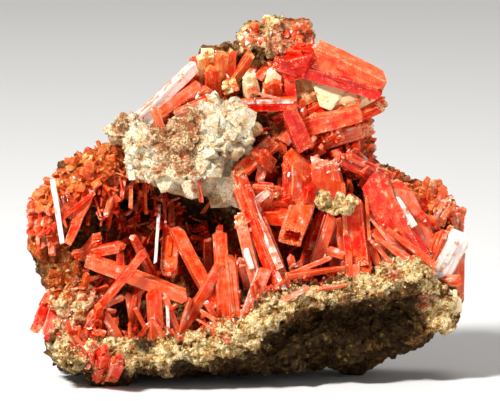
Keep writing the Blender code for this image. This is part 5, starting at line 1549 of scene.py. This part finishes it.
class SPECIMEN_OT_prisms(bpy.types.Operator):
    """Large crocoite prisms, family by family."""

    bl_idname = "specimen.prisms"
    bl_label = "Prisms"

    def execute(self, context):
        laths = context.scene.specimen_sizes.laths
        for family, (name, (material, rows, nodes)) in enumerate(FAMILIES.items()):
            into = crystal_bmesh()
            for seed, row in enumerate(rows.values()):
                grow(into, row, FAMILY_SEEDS * family + seed, laths)
            finish(mesh_from(into, name), name, material, nodes)
        return {"FINISHED"}


class SPECIMEN_OT_pale_crystals(bpy.types.Operator):
    """Cream and tan crystals between the red ones."""

    bl_idname = "specimen.pale_crystals"
    bl_label = "Pale crystals"

    def execute(self, context):
        for node in PALE_NODES:
            mesh = crusted(remeshed(node_mesh(node), PALE_MESH), PALE_RELIEF, DOWNWARD_SHADE["pale"])
            finish(mesh, node + "_grown", "pale_crystal", [node])
        into = crystal_bmesh()
        for seed, row in enumerate(POCKET_PRISMS.values()):
            grow(into, row, POCKET_SEED + seed, 1)
        mesh = mesh_from(into, "pocket_crystals")
        finish(mesh, "pocket_crystals", "pale_crystal", ["tan_crystal", "pale_cleavage"])
        return {"FINISHED"}


class SPECIMEN_OT_thickets(bpy.types.Operator):
    """Small prisms that fill the dense places."""

    bl_idname = "specimen.thickets"
    bl_label = "Thickets"

    def execute(self, context):
        middles, normals = faces_of("gossan_front", "gossan_back")
        bare = bare_faces(middles, normals)
        into = crystal_bmesh()
        rng = random.Random(THICKET_SEED)
        for face, _radius, (lengths, widths, tones, lean) in scattered(THICKETS, rng, middles):
            if bare[face]:
                continue
            start = Vector(middles[face])
            way = Vector(lean).normalized() + 0.5 * Vector(normals[face]) + 0.7 * random_way(rng)
            way.normalize()
            length = rng.uniform(*lengths)
            width = rng.uniform(*widths)
            if not inside_box(start + way * length) or not inside_box(start):
                continue
            end = rng.choice(("chisel", "broken", "taper"))
            thickness = width * rng.uniform(0.3, 0.85)
            made = prism(rng, width, thickness, length + THICKET_ROOT, rng.uniform(*tones), end, 1, 2)
            plant(into, made, start - way * THICKET_ROOT, way, rng.uniform(0, 90))
        finish_growth(into, "thicket_crystals")
        return {"FINISHED"}


class SPECIMEN_OT_rubble(bpy.types.Operator):
    """Broken bits between and on the crystals."""

    bl_idname = "specimen.rubble"
    bl_label = "Rubble"

    def execute(self, context):
        middles, normals = faces_of(*RUBBLE_LIES_ON)
        bare = bare_faces(middles, normals)
        into = crystal_bmesh()
        rng = random.Random(RUBBLE_SEED)
        for face, _radius, (lengths, widths, tones) in scattered(RUBBLE, rng, middles):
            start = Vector(middles[face])
            normal = Vector(normals[face])
            if normal.y > 0.5 or (bare[face] and rng.random() < RUBBLE_LEFT_OUT):
                continue
            way = (1.3 * normal + random_way(rng)).normalized()
            length = rng.uniform(*lengths)
            width = rng.uniform(*widths)
            if not inside_box(start + way * length) or not inside_box(start - way * 0.6):
                continue
            kind = rng.choice(("broken", "taper"))
            bit = prism(rng, width, width * rng.uniform(0.25, 0.7), length, rng.uniform(*tones), kind, 0, 1)
            plant(into, bit, start - way * 0.45 * length, way, rng.uniform(0, 90))
        finish_growth(into, "rubble")
        return {"FINISHED"}


def needle_pattern(rng):
    """A needle of width one, which is stretched to size where it grows."""
    return prism(rng, 1, rng.uniform(0.4, 0.9), NEEDLE_LENGTH, 0.0, "chisel", 0, 1)


class SPECIMEN_OT_druse(bpy.types.Operator):
    """Fine needles on the crust."""

    bl_idname = "specimen.druse"
    bl_label = "Druse"

    def execute(self, context):
        share = context.scene.specimen_sizes.needles
        middles, normals = faces_of("gossan_front", "gossan_back")
        bare = bare_faces(middles, normals)
        into = crystal_bmesh()
        rng = random.Random(DRUSE_SEED)
        patterns = [needle_pattern(rng) for _kind in range(6)]
        for face, radius, (lengths, widths, tones) in scattered(DRUSE, rng, middles, share):
            if radius > BROAD_SCATTER and normals[face][1] < 0:
                continue
            if bare[face] and radius < BROAD_SCATTER and rng.random() < NEEDLES_LEFT_OUT:
                continue
            start = Vector(middles[face])
            way = (Vector(normals[face]) + rng.uniform(0.5, 1.6) * random_way(rng)).normalized()
            length = rng.uniform(*lengths)
            width = rng.uniform(*widths)
            if not inside_box(start + way * length) or not inside_box(start):
                continue
            needle = rng.choice(patterns).copy()
            tone = needle.verts.layers.float["tone"]
            value = rng.uniform(*tones)
            for vert in needle.verts:
                vert[tone] += value
            stretch = (width, width, (length + NEEDLE_ROOT) / NEEDLE_LENGTH)
            bmesh.ops.scale(needle, verts=needle.verts, vec=stretch)
            plant(into, needle, start - way * NEEDLE_ROOT, way, rng.uniform(0, 90))
        for pattern in patterns:
            pattern.free()
        finish_growth(into, "druse")
        return {"FINISHED"}


def angular_grain(rng):
    """A small chip: a coarse ball, pulled out of round."""
    bm = bmesh.new()
    bm.verts.layers.float.new("tone")
    bmesh.ops.create_icosphere(bm, subdivisions=1, radius=0.5)
    for vert in bm.verts:
        vert.co *= rng.uniform(0.65, 1.2)
    bmesh.ops.scale(bm, verts=bm.verts, vec=(1, rng.uniform(0.6, 1), rng.uniform(0.6, 1)))
    return bm


def grain_tone(rng, face_marks, face, tones):
    """Grains are mostly of the crust that they lie in: pale in the cream, near black where the dark mark
    paints shade under the rim and in the hollow.
    """
    if face_marks["dark"][face] > 0.25:
        return rng.uniform(0.02, 0.2)
    if rng.random() < face_marks["cream"][face]:
        return rng.uniform(0.54, 0.84)
    return rng.uniform(*tones)


class SPECIMEN_OT_grains(bpy.types.Operator):
    """Loose grains and crumbs in the crust."""

    bl_idname = "specimen.grains"
    bl_label = "Grains"

    def execute(self, context):
        share = context.scene.specimen_sizes.grains
        middles, normals = faces_of("gossan_front", "gossan_back")
        into = bmesh.new()
        into.verts.layers.float.new("tone")
        rng = random.Random(GRAIN_SEED)
        face_marks = {kind: stains_at(middles, kind) for kind in ("cream", "dark")}
        patterns = [angular_grain(rng) for _kind in range(8)]
        for face, radius, (sizes, tones) in scattered(GRAINS, rng, middles, share):
            size = rng.uniform(*sizes)
            if radius > BROAD_SCATTER and normals[face][1] < 0:
                continue
            normal = Vector(normals[face])
            start = Vector(middles[face]) + normal * 0.1 * size
            if not inside_box(start + normal * size * 0.6) or min(start.z, 1.0) < size:
                continue
            grain = rng.choice(patterns).copy()
            tone = grain.verts.layers.float["tone"]
            value = grain_tone(rng, face_marks, face, tones)
            for vert in grain.verts:
                vert[tone] = value
            turned = Matrix.Rotation(rng.uniform(0, 6.28), 4, random_way(rng))
            placed = Matrix.Translation(start) @ turned @ Matrix.Scale(size, 4)
            bmesh.ops.transform(grain, matrix=placed, verts=grain.verts)
            gather(into, grain)
        for pattern in patterns:
            pattern.free()
        finish(mesh_from(into, "crust_grains"), "crust_grains", "crust_grains")
        return {"FINISHED"}


def aim(obj, target):
    """Turns a light or the camera towards a point."""
    obj.rotation_euler = (target - obj.location).to_track_quat("-Z", "Y").to_euler()


class SPECIMEN_OT_studio(bpy.types.Operator):
    """Pale floor, soft lights and the camera."""

    bl_idname = "specimen.studio"
    bl_label = "Studio"

    def execute(self, context):
        scene = context.scene
        sizes = scene.specimen_sizes
        low, high = CAD_BOX
        middle = Vector((low[i] + high[i]) / 2 for i in range(3))
        bm = bmesh.new()
        bmesh.ops.create_circle(bm, cap_ends=True, segments=64, radius=4.0)
        floor = put_in_scene("studio_floor", mesh_from(bm, "studio_floor"))
        floor.data.materials.append(material_of("studio_paper"))
        for name, (place, size, power) in LIGHTS.items():
            light = bpy.data.lights.new(name, "AREA")
            light.size = size
            light.energy = getattr(sizes, power)
            lamp = put_in_scene(name, light)
            lamp.location = place
            aim(lamp, middle)
        world = bpy.data.worlds.new("studio_air")
        world.use_nodes = True
        air = world.node_tree.nodes["Background"].inputs
        air["Color"].default_value = (1.0, 0.96, 0.92, 1.0)
        air["Strength"].default_value = 0.22
        scene.world = world
        camera = bpy.data.cameras.new("camera")
        camera.lens = sizes.lens
        camera.sensor_width = 36.0
        camera.clip_end = 20.0
        viewer = put_in_scene("camera", camera)
        back = Vector((0, -math.cos(SEEN_FROM_ABOVE), math.sin(SEEN_FROM_ABOVE)))
        viewer.location = CAMERA_TARGET + CAMERA_DISTANCE * back
        aim(viewer, CAMERA_TARGET)
        scene.camera = viewer
        scene.view_settings.view_transform = "Standard"
        return {"FINISHED"}


OPERATORS = [
    SPECIMEN_OT_gossan,
    SPECIMEN_OT_cream_block,
    SPECIMEN_OT_shards,
    SPECIMEN_OT_lumps,
    SPECIMEN_OT_prisms,
    SPECIMEN_OT_pale_crystals,
    SPECIMEN_OT_thickets,
    SPECIMEN_OT_rubble,
    SPECIMEN_OT_druse,
    SPECIMEN_OT_grains,
    SPECIMEN_OT_studio,
]


class SPECIMEN_PT_panel(bpy.types.Panel):
    """Lists the pieces in the order that they are made."""

    bl_idname = "SPECIMEN_PT_panel"
    bl_label = "Crocoite specimen"
    bl_space_type = "VIEW_3D"
    bl_region_type = "UI"
    bl_category = "Specimen"

    def draw(self, context):
        layout = self.layout
        for operator in OPERATORS:
            layout.operator(operator.bl_idname)
        for group in (context.scene.specimen_sizes, context.scene.specimen_colours):
            box = layout.box()
            for key in group.bl_rna.properties.keys():
                if key not in ("rna_type", "name"):
                    box.prop(group, key)


CLASSES = [SpecimenSizes, SpecimenColours, *OPERATORS, SPECIMEN_PT_panel]


def register():
    for made in CLASSES:
        bpy.utils.register_class(made)
    bpy.types.Scene.specimen_sizes = PointerProperty(type=SpecimenSizes)
    bpy.types.Scene.specimen_colours = PointerProperty(type=SpecimenColours)


def unregister():
    del bpy.types.Scene.specimen_colours
    del bpy.types.Scene.specimen_sizes
    for made in reversed(CLASSES):
        bpy.utils.unregister_class(made)


def main():
    register()
    bpy.ops.specimen.gossan()
    bpy.ops.specimen.cream_block()
    bpy.ops.specimen.shards()
    bpy.ops.specimen.lumps()
    bpy.ops.specimen.prisms()
    bpy.ops.specimen.pale_crystals()
    bpy.ops.specimen.thickets()
    bpy.ops.specimen.rubble()
    bpy.ops.specimen.druse()
    bpy.ops.specimen.grains()
    bpy.ops.specimen.studio()


if __name__ == "__main__":
    main()
